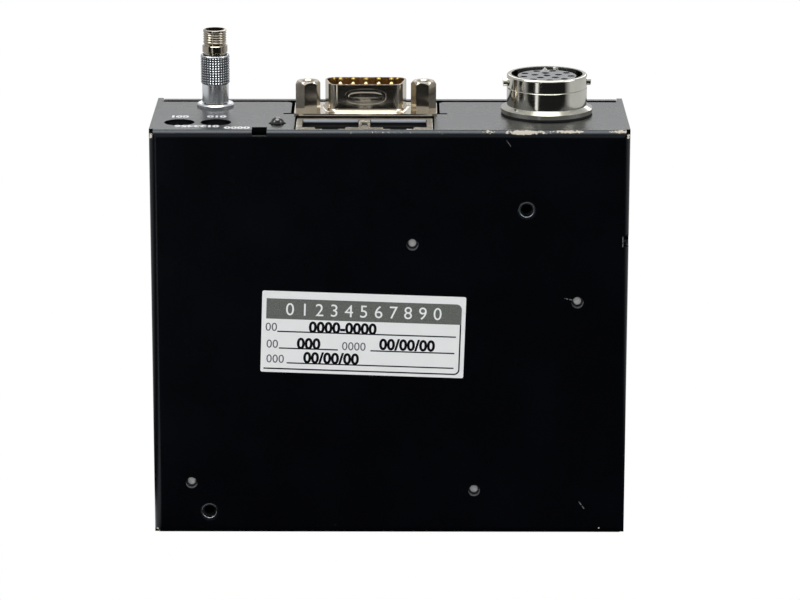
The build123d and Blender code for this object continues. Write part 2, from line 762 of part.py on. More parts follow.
# Bracket behind the flange: a plate with two legs that stand on the main board
insulator_top = top_z + insulator_rise
bracket_top = top_z
bracket_front = board_rear_y
bracket_back = bracket_front + bracket_depth
with BuildPart() as nine_pin_bracket:
    with BuildSketch(level(bracket_top)):
        with Locations((nine_pin_x, (bracket_front + bracket_back) / 2)):
            Rectangle(nine_pin_flange_width - 0.6, bracket_depth)
        with Locations((nine_pin_x, nine_pin_y)):
            add(d_shape(-nine_pin_shell_wall), mode=Mode.SUBTRACT)
    extrude(amount=-bracket_plate)
    with BuildSketch(level(bracket_top - bracket_plate)):
        with Locations(*[(x, (bracket_front + bracket_back) / 2) for x in jackscrew_xs]):
            Rectangle(bracket_leg_width, bracket_depth)
    extrude(amount=-(bracket_height - bracket_plate))
    # The front edge is stepped so that it clears the top wall
    with Locations((nine_pin_x, bracket_front, bracket_top)):
        Box(nine_pin_flange_width, 2 * bracket_step, 2 * (sheet + 0.2), mode=Mode.SUBTRACT)
    with Locations(*[(x, nine_pin_y, bracket_top) for x in jackscrew_xs]):
        Hole(insert_radius + fit, depth=insert_length)
nine_pin_bracket.part.label = "nine_pin_bracket"
export_step(nine_pin_bracket.part, "parts/nine_pin_bracket.step")

# Amber insulator inside the shell
pin_places = [
    (nine_pin_x + (column - (count - 1) / 2) * nine_pin_pitch, y, drop)
    for y, count, drop in pin_rows
    for column in range(count)
]
with BuildPart() as nine_pin_insulator:
    with BuildSketch(level(insulator_top)):
        with Locations((nine_pin_x, nine_pin_y)):
            add(d_shape(-nine_pin_shell_wall - fit))
    extrude(amount=-(insulator_top - bracket_top + bracket_plate))
    with Locations(*[(x, y, insulator_top) for x, y, _ in pin_places]):
        Hole(pin_radius + fit / 2, depth=insulator_top - bracket_top + bracket_plate)
nine_pin_insulator.part.label = "nine_pin_insulator"
export_step(nine_pin_insulator.part, "parts/nine_pin_insulator.step")

# Nine pins with right-angled tails into the main board
pin_foot = bracket_plate + pin_shoulder
with BuildPart() as nine_pin_contacts:
    for x, y, drop in pin_places:
        with Locations((x, y, top_z - pin_foot)):
            Cylinder(pin_radius, pin_tip_height + pin_foot - pin_radius, align=standing)
        with Locations((x, y, top_z + pin_tip_height - pin_radius)):
            Sphere(pin_radius)
        with Locations((x, y, top_z - drop)):
            Sphere(tail_radius)
            Cylinder(tail_radius, drop - pin_foot, align=standing)
        with Locations(Location((x, y, top_z - drop), (90, 0, 0))):
            Cylinder(tail_radius, y - board_front_y, align=standing)
nine_pin_contacts.part.label = "nine_pin_contacts"
export_step(nine_pin_contacts.part, "parts/nine_pin_contacts.step")

# Hexagonal jackscrews with a threaded hole in the head, each turned a little differently
jackscrew_turns = [15.0, -6.0]
with BuildPart() as jackscrews:
    for x, turn in zip(jackscrew_xs, jackscrew_turns):
        profile, axis = turned_at(x, nine_pin_y, top_z)
        with BuildSketch(level(flange_top)):
            with Locations((x, nine_pin_y)):
                RegularPolygon(jackscrew_flats / 2, 6, major_radius=False, rotation=turn)
        extrude(amount=top_z + jackscrew_top - flange_top)
        # The corners of the hexagon are turned off at the top
        corner_radius = jackscrew_flats / 2 / cos(radians(30)) + 0.05
        with BuildSketch(profile):
            with BuildLine():
                Polyline(
                    (jackscrew_flats / 2 - 0.1, jackscrew_top),
                    (corner_radius, jackscrew_top - 0.7),
                    (corner_radius, jackscrew_top),
                    close=True,
                )
            make_face()
        revolve(axis=axis, mode=Mode.SUBTRACT)
        with Locations((x, nine_pin_y, flange_top)):
            Cylinder(jackscrew_stud_radius, insert_length + nine_pin_flange_sheet, align=hanging)
        with Locations((x, nine_pin_y, top_z + jackscrew_top)):
            CounterSinkHole(
                jackscrew_thread_radius,
                jackscrew_thread_radius + jackscrew_countersink,
                depth=jackscrew_thread_depth,
                counter_sink_angle=90,
            )
jackscrews.part.label = "jackscrews"
export_step(jackscrews.part, "parts/jackscrews.step")

with BuildPart() as jackscrew_inserts:
    with BuildSketch(level(bracket_top)):
        with Locations(*[(x, nine_pin_y) for x in jackscrew_xs]):
            Circle(insert_radius)
            Circle(jackscrew_stud_radius + fit, mode=Mode.SUBTRACT)
    extrude(amount=-insert_length)
jackscrew_inserts.part.label = "jackscrew_inserts"
export_step(jackscrew_inserts.part, "parts/jackscrew_inserts.step")

# Network jacks: shield, housing and spring contacts
jack_top = top_z - jack_drop
port_xs = [jack_x - port_pitch / 2, jack_x + port_pitch / 2]
port_front_y = front_y + port_front
port_mid_y = port_front_y + port_thickness / 2
mouth_length = port_thickness + port_lead_in


def port_mouth(grow=0.0):
    """Mouth of both ports with their latch steps, for use inside a sketch."""
    with BuildSketch(mode=Mode.PRIVATE) as mouth:
        for x in port_xs:
            with Locations((x, port_front_y + mouth_length / 2)):
                Rectangle(port_width + 2 * grow, mouth_length + 2 * grow)
            with Locations((x, port_front_y - latch_depth / 2 + 0.1)):
                Rectangle(latch_width + 2 * grow, latch_depth + 0.2 + 2 * grow)
            with Locations((x, port_front_y - latch_depth - latch_tip_depth / 2 + 0.1)):
                Rectangle(latch_tip_width + 2 * grow, latch_tip_depth + 0.2)
    return mouth.sketch


with BuildPart() as network_jack_shield:
    with BuildSketch(level(jack_top)):
        with Locations((jack_x, jack_y)):
            Rectangle(jack_width, jack_thickness)
    extrude(amount=-jack_length)
    fillet(network_jack_shield.faces().sort_by(Axis.Z)[-1].edges(), 0.25)
    with BuildSketch(level(jack_top - shield_sheet)):
        with Locations((jack_x, jack_y)):
            Rectangle(jack_width - 2 * shield_sheet, jack_thickness - 2 * shield_sheet)
    extrude(amount=-jack_length, mode=Mode.SUBTRACT)
    with BuildSketch(level(jack_top)):
        add(port_mouth(0.1))
        # Small window between the two ports
        with Locations((jack_x, port_mid_y - 0.2)):
            Rectangle(1.1, 2.8)
    extrude(amount=-shield_sheet, mode=Mode.SUBTRACT)
network_jack_shield.part.label = "network_jack_shield"
export_step(network_jack_shield.part, "parts/network_jack_shield.step")

housing_top = jack_top - shield_sheet - fit
housing_length = jack_length - shield_sheet - fit
with BuildPart() as network_jack_housing:
    with BuildSketch(level(housing_top)):
        with Locations((jack_x, jack_y)):
            Rectangle(jack_width - 2 * (shield_sheet + fit), jack_thickness - 2 * (shield_sheet + fit))
    extrude(amount=-housing_length)
    with BuildSketch(level(housing_top)):
        add(port_mouth())
    extrude(amount=-port_lead_in_depth, mode=Mode.SUBTRACT)
    with BuildSketch(level(housing_top)):
        for x in port_xs:
            with Locations((x, port_mid_y)):
                Rectangle(port_width, port_thickness)
            with Locations((x, port_front_y - latch_depth / 2 + 0.1)):
                Rectangle(latch_width, latch_depth + 0.2)
    extrude(amount=-port_depth, mode=Mode.SUBTRACT)
network_jack_housing.part.label = "network_jack_housing"
export_step(network_jack_housing.part, "parts/network_jack_housing.step")

# Each contact wire leans from the comb into its port
wire_top = housing_top - wire_top_depth
wire_bottom = housing_top - wire_foot_depth
port_rear_y = port_front_y + port_thickness
with BuildPart() as network_jack_contacts:
    for x in port_xs:
        for place in range(contacts_per_port):
            wire_x = x + (place - (contacts_per_port - 1) / 2) * contact_pitch
            with BuildSketch(Plane.YZ.offset(wire_x - contact_size / 2)):
                with BuildLine():
                    Polyline(
                        (port_rear_y - fit, wire_top),
                        (port_rear_y - fit - contact_size, wire_top),
                        (port_rear_y - fit - wire_lean - contact_size, wire_bottom),
                        (port_rear_y - fit - wire_lean, wire_bottom),
                        close=True,
                    )
                make_face()
            extrude(amount=contact_size)
network_jack_contacts.part.label = "network_jack_contacts"
export_step(network_jack_contacts.part, "parts/network_jack_contacts.step")

# Push-pull receptacle: flanged body through the top wall, held by a nut
coax_profile, coax_axis = turned_at(coax_x, coax_y, top_z)
socket_top = -plug_nose_depth - coax_socket_gap
with BuildPart() as coax_receptacle_body:
    with BuildSketch(coax_profile):
        with BuildLine():
            Polyline(
                (coax_bore_radius, coax_flange_height),
                (coax_flange_radius - coax_flange_chamfer, coax_flange_height),
                (coax_flange_radius, coax_flange_height - coax_flange_chamfer),
                (coax_flange_radius, 0),
                (coax_thread_radius, 0),
                (coax_thread_radius, coax_bottom),
                (coax_insulator_radius + fit, coax_bottom),
                (coax_insulator_radius + fit, socket_top),
                (coax_bore_radius, socket_top),
                close=True,
            )
        make_face()
    revolve(axis=coax_axis)
coax_receptacle_body.part.label = "coax_receptacle_body"
export_step(coax_receptacle_body.part, "parts/coax_receptacle_body.step")

with BuildPart() as coax_receptacle_nut:
    with BuildSketch(level(top_z - sheet)):
        with Locations((coax_x, coax_y)):
            RegularPolygon(coax_nut_flats / 2, 6, major_radius=False, rotation=30)
            Circle(coax_thread_radius + fit, mode=Mode.SUBTRACT)
    extrude(amount=-coax_nut_height)
coax_receptacle_nut.part.label = "coax_receptacle_nut"
export_step(coax_receptacle_nut.part, "parts/coax_receptacle_nut.step")

with BuildPart() as coax_receptacle_insulator:
    with BuildSketch(coax_profile):
        with BuildLine():
            Polyline(
                (coax_pin_radius + coax_contact_wall + fit, socket_top),
                (coax_insulator_radius, socket_top),
                (coax_insulator_radius, coax_bottom - coax_socket_gap),
                (coax_pin_radius + coax_contact_wall + fit, coax_bottom - coax_socket_gap),
                close=True,
            )
        make_face()
    revolve(axis=coax_axis)
coax_receptacle_insulator.part.label = "coax_receptacle_insulator"
export_step(coax_receptacle_insulator.part, "parts/coax_receptacle_insulator.step")

with BuildPart() as coax_receptacle_contact:
    with BuildSketch(coax_profile):
        with BuildLine():
            Polyline(
                (coax_pin_radius + running, socket_top + coax_contact_rise),
                (coax_pin_radius + coax_contact_wall, socket_top + coax_contact_rise),
                (coax_pin_radius + coax_contact_wall, coax_contact_bottom),
                (0, coax_contact_bottom),
                (0, socket_top - coax_contact_floor),
                (coax_pin_radius + running, socket_top - coax_contact_floor),
                close=True,
            )
        make_face()
    revolve(axis=coax_axis)
coax_receptacle_contact.part.label = "coax_receptacle_contact"
export_step(coax_receptacle_contact.part, "parts/coax_receptacle_contact.step")

# Plug body: nose in the receptacle, collar and bare threaded tail above, hollow for the cable
plug_nose_bore_radius = plug_nose_radius - plug_nose_wall
tail_undercut = 0.2
with BuildPart() as plug_body:
    with BuildSketch(coax_profile):
        with BuildLine():
            Polyline(
                (plug_nose_bore_radius, -plug_nose_depth),
                (plug_nose_radius, -plug_nose_depth),
                (plug_nose_radius, plug_collar_bottom),
                (plug_collar_radius, plug_collar_bottom),
                (plug_collar_radius, plug_collar_top - 0.15),
                (plug_collar_radius - 0.15, plug_collar_top),
                (plug_thread_radius - tail_undercut, plug_collar_top),
                (plug_thread_radius - tail_undercut, plug_collar_top + 0.4),
                (plug_thread_radius, plug_collar_top + 0.6),
                (plug_thread_radius, plug_top - 0.3),
                (plug_thread_radius - 0.3, plug_top),
                (plug_bore_radius, plug_top),
                (plug_bore_radius, plug_collar_bottom - plug_bore_depth),
                (plug_nose_bore_radius, plug_collar_bottom - plug_bore_depth),
                close=True,
            )
        make_face()
    revolve(axis=coax_axis)
    # Key slot in the collar
    slot_turn = radians(-113)
    slot_x = coax_x + plug_collar_radius * cos(slot_turn)
    slot_y = coax_y + plug_collar_radius * sin(slot_turn)
    with Locations((slot_x, slot_y, top_z + plug_collar_top)):
        Box(0.4, 0.5, 2 * (plug_collar_top - plug_collar_bottom) - 0.8, mode=Mode.SUBTRACT)
plug_body.part.label = "plug_body"
export_step(plug_body.part, "parts/plug_body.step")

# Release sleeve: slides up over the collar to free the plug
sleeve_bore = plug_nose_radius + running
sleeve_mouth = plug_collar_radius + running
mouth_depth = sleeve_travel - (plug_collar_bottom - sleeve_top) + 0.15
row_pitch = (sleeve_top - 0.35 - sleeve_step) / knurl_rows
with BuildPart() as plug_release_sleeve:
    with BuildSketch(coax_profile):
        with BuildLine():
            Polyline(
                (sleeve_bore, sleeve_bottom),
                (sleeve_smooth_radius, sleeve_bottom),
                (sleeve_smooth_radius, sleeve_step),
                (sleeve_radius - knurl_depth, sleeve_step),
                (sleeve_radius - knurl_depth, sleeve_step + 0.1),
                (sleeve_radius, sleeve_step + 0.25),
                (sleeve_radius, sleeve_top - 0.3),
                (sleeve_radius - 0.3, sleeve_top),
                (sleeve_mouth, sleeve_top),
                (sleeve_mouth, sleeve_top - mouth_depth),
                (sleeve_bore, sleeve_top - mouth_depth),
                close=True,
            )
        make_face()
    revolve(axis=coax_axis)
    # Turned grooves between the rows of the grip
    with BuildSketch(coax_profile):
        for row in range(1, knurl_rows):
            groove_z = sleeve_step + 0.1 + row * row_pitch
            with BuildLine():
                Polyline(
                    (sleeve_radius + 0.02, groove_z - row_pitch / 3),
                    (sleeve_radius + 0.02, groove_z + row_pitch / 3),
                    (sleeve_radius - knurl_depth, groove_z),
                    close=True,
                )
            make_face()
    revolve(axis=coax_axis, mode=Mode.SUBTRACT)
plug_release_sleeve.part.label = "plug_release_sleeve"
export_step(plug_release_sleeve.part, "parts/plug_release_sleeve.step")

plug_insulator_top = plug_collar_bottom - plug_insulator_depth
with BuildPart() as plug_insulator:
    with BuildSketch(coax_profile):
        with BuildLine():
            Polyline(
                (coax_pin_radius + fit, -plug_nose_depth + 1.5),
                (plug_nose_bore_radius - fit, -plug_nose_depth + 1.5),
                (plug_nose_bore_radius - fit, plug_insulator_top),
                (coax_pin_radius + fit, plug_insulator_top),
                close=True,
            )
        make_face()
    revolve(axis=coax_axis)
plug_insulator.part.label = "plug_insulator"
export_step(plug_insulator.part, "parts/plug_insulator.step")

with BuildPart() as plug_contact:
    pin_bottom = top_z + socket_top - 0.6
    with Locations((coax_x, coax_y, pin_bottom)):
        Cylinder(coax_pin_radius, top_z + plug_insulator_top + 1.5 - pin_bottom, align=standing)
    chamfer(plug_contact.faces().sort_by(Axis.Z)[0].edges(), 0.15)
plug_contact.part.label = "plug_contact"
export_step(plug_contact.part, "parts/plug_contact.step")

# Round receptacle: gasket, bayonet shell, insert, sockets and nut
round_profile, round_axis = turned_at(round_x, round_y, top_z)
round_flange_top = gasket_sheet + round_flange_sheet
with BuildPart() as receptacle_gasket:
    with BuildSketch(level(top_z)):
        with Locations((round_x, round_y)):
            Circle(round_flange_radius - 0.1)
            Circle(round_thread_radius + fit, mode=Mode.SUBTRACT)
    extrude(amount=gasket_sheet)
receptacle_gasket.part.label = "receptacle_gasket"
export_step(receptacle_gasket.part, "parts/receptacle_gasket.step")

key_turn = 75.0
key_width = 0.6
bayonet_planes = []
for bayonet_turn in (round_turn, round_turn + 180):
    outward = Vector(cos(radians(bayonet_turn)), sin(radians(bayonet_turn)), 0)
    bayonet_start = Vector(round_x, round_y, top_z + bayonet_height) + outward * (round_bore_radius + 0.1)
    bayonet_planes.append(Plane(origin=bayonet_start, z_dir=outward))
with BuildPart() as receptacle_shell:
    with BuildSketch(round_profile):
        with BuildLine():
            Polyline(
                (round_bore_radius, round_top),
                (round_barrel_radius, round_top),
                (round_barrel_radius, groove_height + groove_size),
                (round_barrel_radius - groove_size, groove_height),
                (round_barrel_radius, groove_height - groove_size),
                (round_barrel_radius, round_flange_top + round_shoulder),
                (round_flange_radius, round_flange_top),
                (round_flange_radius, gasket_sheet),
                (round_thread_radius, gasket_sheet),
                (round_thread_radius, round_bottom),
                (round_bore_radius, round_bottom),
                close=True,
            )
        make_face()
    revolve(axis=round_axis)
    circles = receptacle_shell.edges().filter_by(GeomType.CIRCLE)
    rim_outer = circles.filter_by(lambda e: abs(e.radius - round_barrel_radius) < 1e-4).sort_by(Axis.Z)
    fillet(rim_outer[-1], round_rim)
    # Drilled holes for the two bayonet pins
    for plane in bayonet_planes:
        with BuildSketch(plane):
            Circle(bayonet_radius + fit / 2)
        extrude(amount=2.0, mode=Mode.SUBTRACT)
    # Master key along the inside of the barrel
    with BuildSketch(level(top_z + insert_shoulder)):
        with Locations((round_x, round_y)):
            with PolarLocations(round_bore_radius - 0.35, 1, start_angle=key_turn):
                Rectangle(0.9, key_width)
    extrude(amount=round_top - insert_shoulder - 0.15)
receptacle_shell.part.label = "receptacle_shell"
export_step(receptacle_shell.part, "parts/receptacle_shell.step")

with BuildPart() as bayonet_pins:
    for plane in bayonet_planes:
        with BuildSketch(plane):
            Circle(bayonet_radius)
        extrude(amount=round_barrel_radius + bayonet_reach - round_bore_radius - 0.1)
        outer_end = bayonet_pins.edges().filter_by(GeomType.CIRCLE).sort_by_distance(plane.origin)[-1]
        chamfer(outer_end, 0.12)
bayonet_pins.part.label = "bayonet_pins"
export_step(bayonet_pins.part, "parts/bayonet_pins.step")

socket_places = [(round_x, round_y)]
for count, ring, start in (
    (outer_sockets, outer_socket_ring, outer_socket_start),
    (inner_sockets, inner_socket_ring, inner_socket_start),
):
    for step in range(count):
        turn = radians(start + 360 * step / count)
        socket_places.append((round_x + ring * cos(turn), round_y + ring * sin(turn)))

with BuildPart() as receptacle_insert:
    with BuildSketch(round_profile):
        with BuildLine():
            Polyline(
                (0, insert_top),
                (insert_nose_radius, insert_top),
                (insert_nose_radius, insert_shoulder),
                (round_bore_radius - fit, insert_shoulder),
                (round_bore_radius - fit, insert_bottom),
                (0, insert_bottom),
                close=True,
            )
        make_face()
    revolve(axis=round_axis)
    with Locations(*[(x, y, top_z + insert_top) for x, y in socket_places]):
        Hole(socket_hole_radius, depth=insert_top - insert_bottom)
receptacle_insert.part.label = "receptacle_insert"
export_step(receptacle_insert.part, "parts/receptacle_insert.step")

# Pale raised pointer between two of the outer sockets
pointer_turn = radians(outer_socket_start + 180 / outer_sockets)
pointer_x = round_x + pointer_ring * cos(pointer_turn)
pointer_y = round_y + pointer_ring * sin(pointer_turn)
with BuildPart() as receptacle_pointer:
    with BuildSketch(facing_front(pointer_y - pointer_depth / 2)):
        with BuildLine():
            Polyline(
                (pointer_x - pointer_width / 2, top_z + insert_top),
                (pointer_x + pointer_width / 2, top_z + insert_top),
                (pointer_x, top_z + insert_top + pointer_height),
                close=True,
            )
        make_face()
    extrude(amount=-pointer_depth)
receptacle_pointer.part.label = "receptacle_pointer"
export_step(receptacle_pointer.part, "parts/receptacle_pointer.step")

with BuildPart() as receptacle_sockets:
    socket_start = top_z + insert_top - socket_drop
    with BuildSketch(level(socket_start)):
        with Locations(*socket_places):
            Circle(socket_radius)
    extrude(amount=-socket_length)
    with Locations(*[(x, y, socket_start) for x, y in socket_places]):
        Hole(socket_radius - socket_wall, depth=socket_bore_depth)
receptacle_sockets.part.label = "receptacle_sockets"
export_step(receptacle_sockets.part, "parts/receptacle_sockets.step")

with BuildPart() as receptacle_nut:
    with BuildSketch(level(top_z - sheet)):
        with Locations((round_x, round_y)):
            RegularPolygon(round_nut_flats / 2, 6, major_radius=False, rotation=30)
            Circle(round_thread_radius + fit, mode=Mode.SUBTRACT)
    extrude(amount=-round_nut_height)
receptacle_nut.part.label = "receptacle_nut"
export_step(receptacle_nut.part, "parts/receptacle_nut.step")

# Small board soldered on the tails of the round receptacle
receptacle_board_bottom = top_z + insert_bottom - socket_tail
with BuildPart() as receptacle_board:
    with BuildSketch(level(receptacle_board_bottom)):
        with Locations((round_x, round_y)):
            Circle(receptacle_board_radius)
        with Locations(*socket_places):
            Circle(socket_radius + fit / 2, mode=Mode.SUBTRACT)
    extrude(amount=receptacle_board_sheet)
receptacle_board.part.label = "receptacle_board"
export_step(receptacle_board.part, "parts/receptacle_board.step")

# Two upright headers on the main board: one for the ribbon, one for the flow sensor's lead
ribbon_header_z = top_z - ribbon_header_drop
header_places = {
    "ribbon": (round_x, ribbon_header_z),
    "sensor": (left_x + sensor_header_place[0], sensor_header_place[1]),
}
for header, (header_x, header_z) in header_places.items():
    with BuildPart() as header_body:
        with BuildSketch(facing_front(board_rear_y)):
            with Locations((header_x, header_z)):
                RectangleRounded(header_length, header_width, 0.3)
        extrude(amount=-header_height)
        with BuildSketch(facing_front(board_rear_y + header_height)):
            with Locations((header_x, header_z)):
                Rectangle(header_length - 1.6, header_width - 1.6)
        extrude(amount=header_height - 2.0, mode=Mode.SUBTRACT)
        with BuildSketch(facing_front(board_rear_y)):
            with Locations((header_x, header_z)):
                with GridLocations(header_pitch, 1, header_pins, 1):
                    Circle(header_pin_radius + fit / 2)
        extrude(amount=-2.0, mode=Mode.SUBTRACT)
    header_body.part.label = f"{header}_header"
    export_step(header_body.part, f"parts/{header}_header.step")
    with BuildPart() as header_contacts:
        with BuildSketch(facing_front(board_rear_y)):
            with Locations((header_x, header_z)):
                with GridLocations(header_pitch, 1, header_pins, 1):
                    Circle(header_pin_radius)
        extrude(amount=-(header_height - 2.0))
    header_contacts.part.label = f"{header}_header_pins"
    export_step(header_contacts.part, f"parts/{header}_header_pins.step")

# Ribbon from the small board to its plug in the header
plug_block_y = board_rear_y + header_height
ribbon_y = plug_block_y + plug_block_height / 2 + 0.6
ribbon_top = receptacle_board_bottom - fit
ribbon_foot = ribbon_header_z + header_width / 2
with BuildPart() as ribbon_plug:
    with BuildSketch(facing_front(plug_block_y + fit)):
        with Locations((round_x, ribbon_header_z)):
            Rectangle(header_length, header_width)
    extrude(amount=-plug_block_height)
    with BuildSketch(facing_front(plug_block_y + fit)):
        with Locations((round_x, ribbon_header_z)):
            Rectangle(header_length - 1.8, header_width - 1.8)
    extrude(amount=3.5)
    with BuildSketch(facing_front(plug_block_y - 3.5)):
        with Locations((round_x, ribbon_header_z)):
            with GridLocations(header_pitch, 1, header_pins, 1):
                Circle(header_pin_radius + 0.1)
    extrude(amount=-4.5, mode=Mode.SUBTRACT)
ribbon_plug.part.label = "ribbon_plug"
export_step(ribbon_plug.part, "parts/ribbon_plug.step")

with BuildPart() as ribbon_cable:
    with BuildSketch(Plane.YZ.offset(round_x - ribbon_width / 2)):
        with Locations(((ribbon_y - ribbon_sheet / 2), (ribbon_foot + ribbon_top - ribbon_bend) / 2)):
            Rectangle(ribbon_sheet, ribbon_top - ribbon_bend - ribbon_foot - 2 * fit)
        with Locations(((round_y + ribbon_y - ribbon_bend) / 2, ribbon_top - ribbon_sheet / 2)):
            Rectangle(ribbon_y - ribbon_bend - round_y, ribbon_sheet)
        with BuildLine():
            CenterArc((ribbon_y - ribbon_bend, ribbon_top - ribbon_bend), ribbon_bend, 0, 90)
            Line((ribbon_y - ribbon_bend, ribbon_top), (ribbon_y - ribbon_bend, ribbon_top - ribbon_sheet))
            CenterArc((ribbon_y - ribbon_bend, ribbon_top - ribbon_bend), ribbon_bend - ribbon_sheet, 0, 90)
            Line((ribbon_y, ribbon_top - ribbon_bend), (ribbon_y - ribbon_sheet, ribbon_top - ribbon_bend))
        make_face()
    extrude(amount=ribbon_width)
ribbon_cable.part.label = "ribbon_cable"
export_step(ribbon_cable.part, "parts/ribbon_cable.step")

# Lead from the coaxial receptacle into the main board
lead_start = Vector(coax_x, coax_y, top_z + coax_contact_bottom)
lead_corner = lead_start - Vector(0, 0, coax_lead_drop)
lead_turned = lead_corner - Vector(0, coax_lead_bend, coax_lead_bend)
lead_end = Vector(coax_x, board_front_y - 0.5, coax_lead_z)
with BuildPart() as coax_lead:
    with BuildLine():
        Line(lead_start, lead_corner)
        RadiusArc(lead_corner, lead_turned, coax_lead_bend)
        Line(lead_turned, lead_end)
    with BuildSketch(Plane(origin=lead_start, z_dir=(0, 0, -1))):
        Circle(coax_lead_radius)
    sweep()
coax_lead.part.label = "coax_lead"
export_step(coax_lead.part, "parts/coax_lead.step")

# Chips, crystal, capacitors and coil on the back of the main board
with BuildPart() as processor_chip:
    with BuildSketch(facing_front(board_rear_y)):
        with Locations((left_x + processor_place[0], top_z - processor_place[1])):
            RectangleRounded(processor_size, processor_size, 0.5)
    extrude(amount=-processor_sheet)
processor_chip.part.label = "processor_chip"
export_step(processor_chip.part, "parts/processor_chip.step")

with BuildPart() as driver_chips:
    with BuildSketch(facing_front(board_rear_y)):
        with Locations(*[(left_x + x, top_z - z) for x, z in driver_places]):
            RectangleRounded(driver_length, driver_width, 0.3)
    extrude(amount=-driver_height)
driver_chips.part.label = "driver_chips"
export_step(driver_chips.part, "parts/driver_chips.step")

with BuildPart() as crystal:
    with BuildSketch(facing_front(board_rear_y)):
        with Locations((left_x + crystal_place[0], top_z - crystal_place[1])):
            SlotOverall(crystal_length, crystal_width)
    extrude(amount=-crystal_height)
    fillet(crystal.faces().sort_by(Axis.Y)[-1].edges(), 0.4)
crystal.part.label = "crystal"
export_step(crystal.part, "parts/crystal.step")

with BuildPart() as capacitors:
    with BuildSketch(facing_front(board_rear_y)):
        with Locations(*[(right_x - x, top_z - z) for x, z in capacitor_places]):
            Circle(capacitor_radius)
    extrude(amount=-capacitor_height)
    fillet(capacitors.faces().filter_by(Plane.XZ).group_by(Axis.Y)[-1].edges(), 0.4)
capacitors.part.label = "capacitors"
export_step(capacitors.part, "parts/capacitors.step")

with BuildPart() as power_coil:
    with BuildSketch(facing_front(board_rear_y)):
        with Locations((right_x - coil_place[0], top_z - coil_place[1])):
            RectangleRounded(coil_size, coil_size, 1.2)
    extrude(amount=-coil_height)
    fillet(power_coil.faces().sort_by(Axis.Y)[-1].edges(), 0.3)
power_coil.part.label = "power_coil"
export_step(power_coil.part, "parts/power_coil.step")

# Network transformer on the front of the main board, just below the jacks
transformer_z = jack_top - jack_length - transformer_gap - transformer_height / 2
with BuildPart() as network_transformer:
    with BuildSketch(facing_front(board_front_y)):
        with Locations((left_x + transformer_from_left, transformer_z)):
            Rectangle(transformer_width, transformer_height)
    extrude(amount=transformer_thickness)
network_transformer.part.label = "network_transformer"
export_step(network_transformer.part, "parts/network_transformer.step")
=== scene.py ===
# %% [markdown]
# # A meter's electronics box, dressed for its portrait
# The solid model of the box is already packed: a folded steel tray with four connectors, two small
# address switches and a lamp along its top edge. This lesson loads it, gives every piece the finish of
# the real one, models the few things that plain solids can't carry (a knurled grip, cut
# threads, the print on the sticker, the chips in the coating), and lays studio light on it.

# %% Load the imported model
import json
import math

import bmesh
import bpy
from mathutils import Matrix, Vector

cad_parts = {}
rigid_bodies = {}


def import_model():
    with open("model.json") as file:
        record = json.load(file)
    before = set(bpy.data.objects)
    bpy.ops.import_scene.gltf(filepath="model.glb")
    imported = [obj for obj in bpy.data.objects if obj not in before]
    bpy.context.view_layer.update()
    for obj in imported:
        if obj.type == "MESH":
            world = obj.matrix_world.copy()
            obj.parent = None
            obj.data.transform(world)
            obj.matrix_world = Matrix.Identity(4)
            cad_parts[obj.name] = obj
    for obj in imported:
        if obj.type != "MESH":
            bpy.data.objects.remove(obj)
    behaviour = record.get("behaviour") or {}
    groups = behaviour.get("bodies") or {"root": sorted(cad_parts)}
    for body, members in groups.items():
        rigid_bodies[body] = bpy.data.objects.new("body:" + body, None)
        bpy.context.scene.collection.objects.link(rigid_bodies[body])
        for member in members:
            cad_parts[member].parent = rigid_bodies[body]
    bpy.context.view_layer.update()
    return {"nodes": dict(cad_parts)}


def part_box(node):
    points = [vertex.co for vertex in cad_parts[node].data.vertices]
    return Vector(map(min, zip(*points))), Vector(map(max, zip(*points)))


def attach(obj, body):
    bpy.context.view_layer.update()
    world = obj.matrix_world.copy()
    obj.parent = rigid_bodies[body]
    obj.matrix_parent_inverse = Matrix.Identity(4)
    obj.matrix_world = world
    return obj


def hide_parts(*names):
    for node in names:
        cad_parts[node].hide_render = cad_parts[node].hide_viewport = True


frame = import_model()

# %% [markdown]
# Everything is in metres, in the frame of the solids. A millimetre helper keeps the numbers readable,
# and the places of the main pieces are read from the solids themselves, so that nothing drifts if the
# model is packed again with other sizes.

# %% Places read from the solids
MM = 0.001


def corners_of(node):
    low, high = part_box(node)
    return Vector(low), Vector(high)


def middle(node):
    low, high = corners_of(node)
    return (low + high) / 2


tray_low, tray_high = corners_of("chassis_tray")
top_z = tray_high.z
front_y = tray_low.y
coax = middle("coax_receptacle_body")
round_port = middle("receptacle_gasket")
nine_pin = middle("nine_pin_insulator")
sticker = middle("paper_label")


def behind_front(x, z, depth=0.0):
    """A point on the front face or some depth behind it, from millimetres."""
    return Vector((x * MM, front_y + depth * MM, z * MM))


print("top of the box at", round(top_z / MM, 2), "mm, front face at", round(front_y / MM, 2), "mm")

# %% [markdown]
# ## Camera
# The photograph was taken from some way off with a long lens, a little above the box: its upright
# edges lean in only slightly. The camera's height, distance and tilt were worked out from the box's
# edges and the connector's known spacing. A matrix made from the three camera axes sets the tilt and
# the hair's breadth of roll in one go.

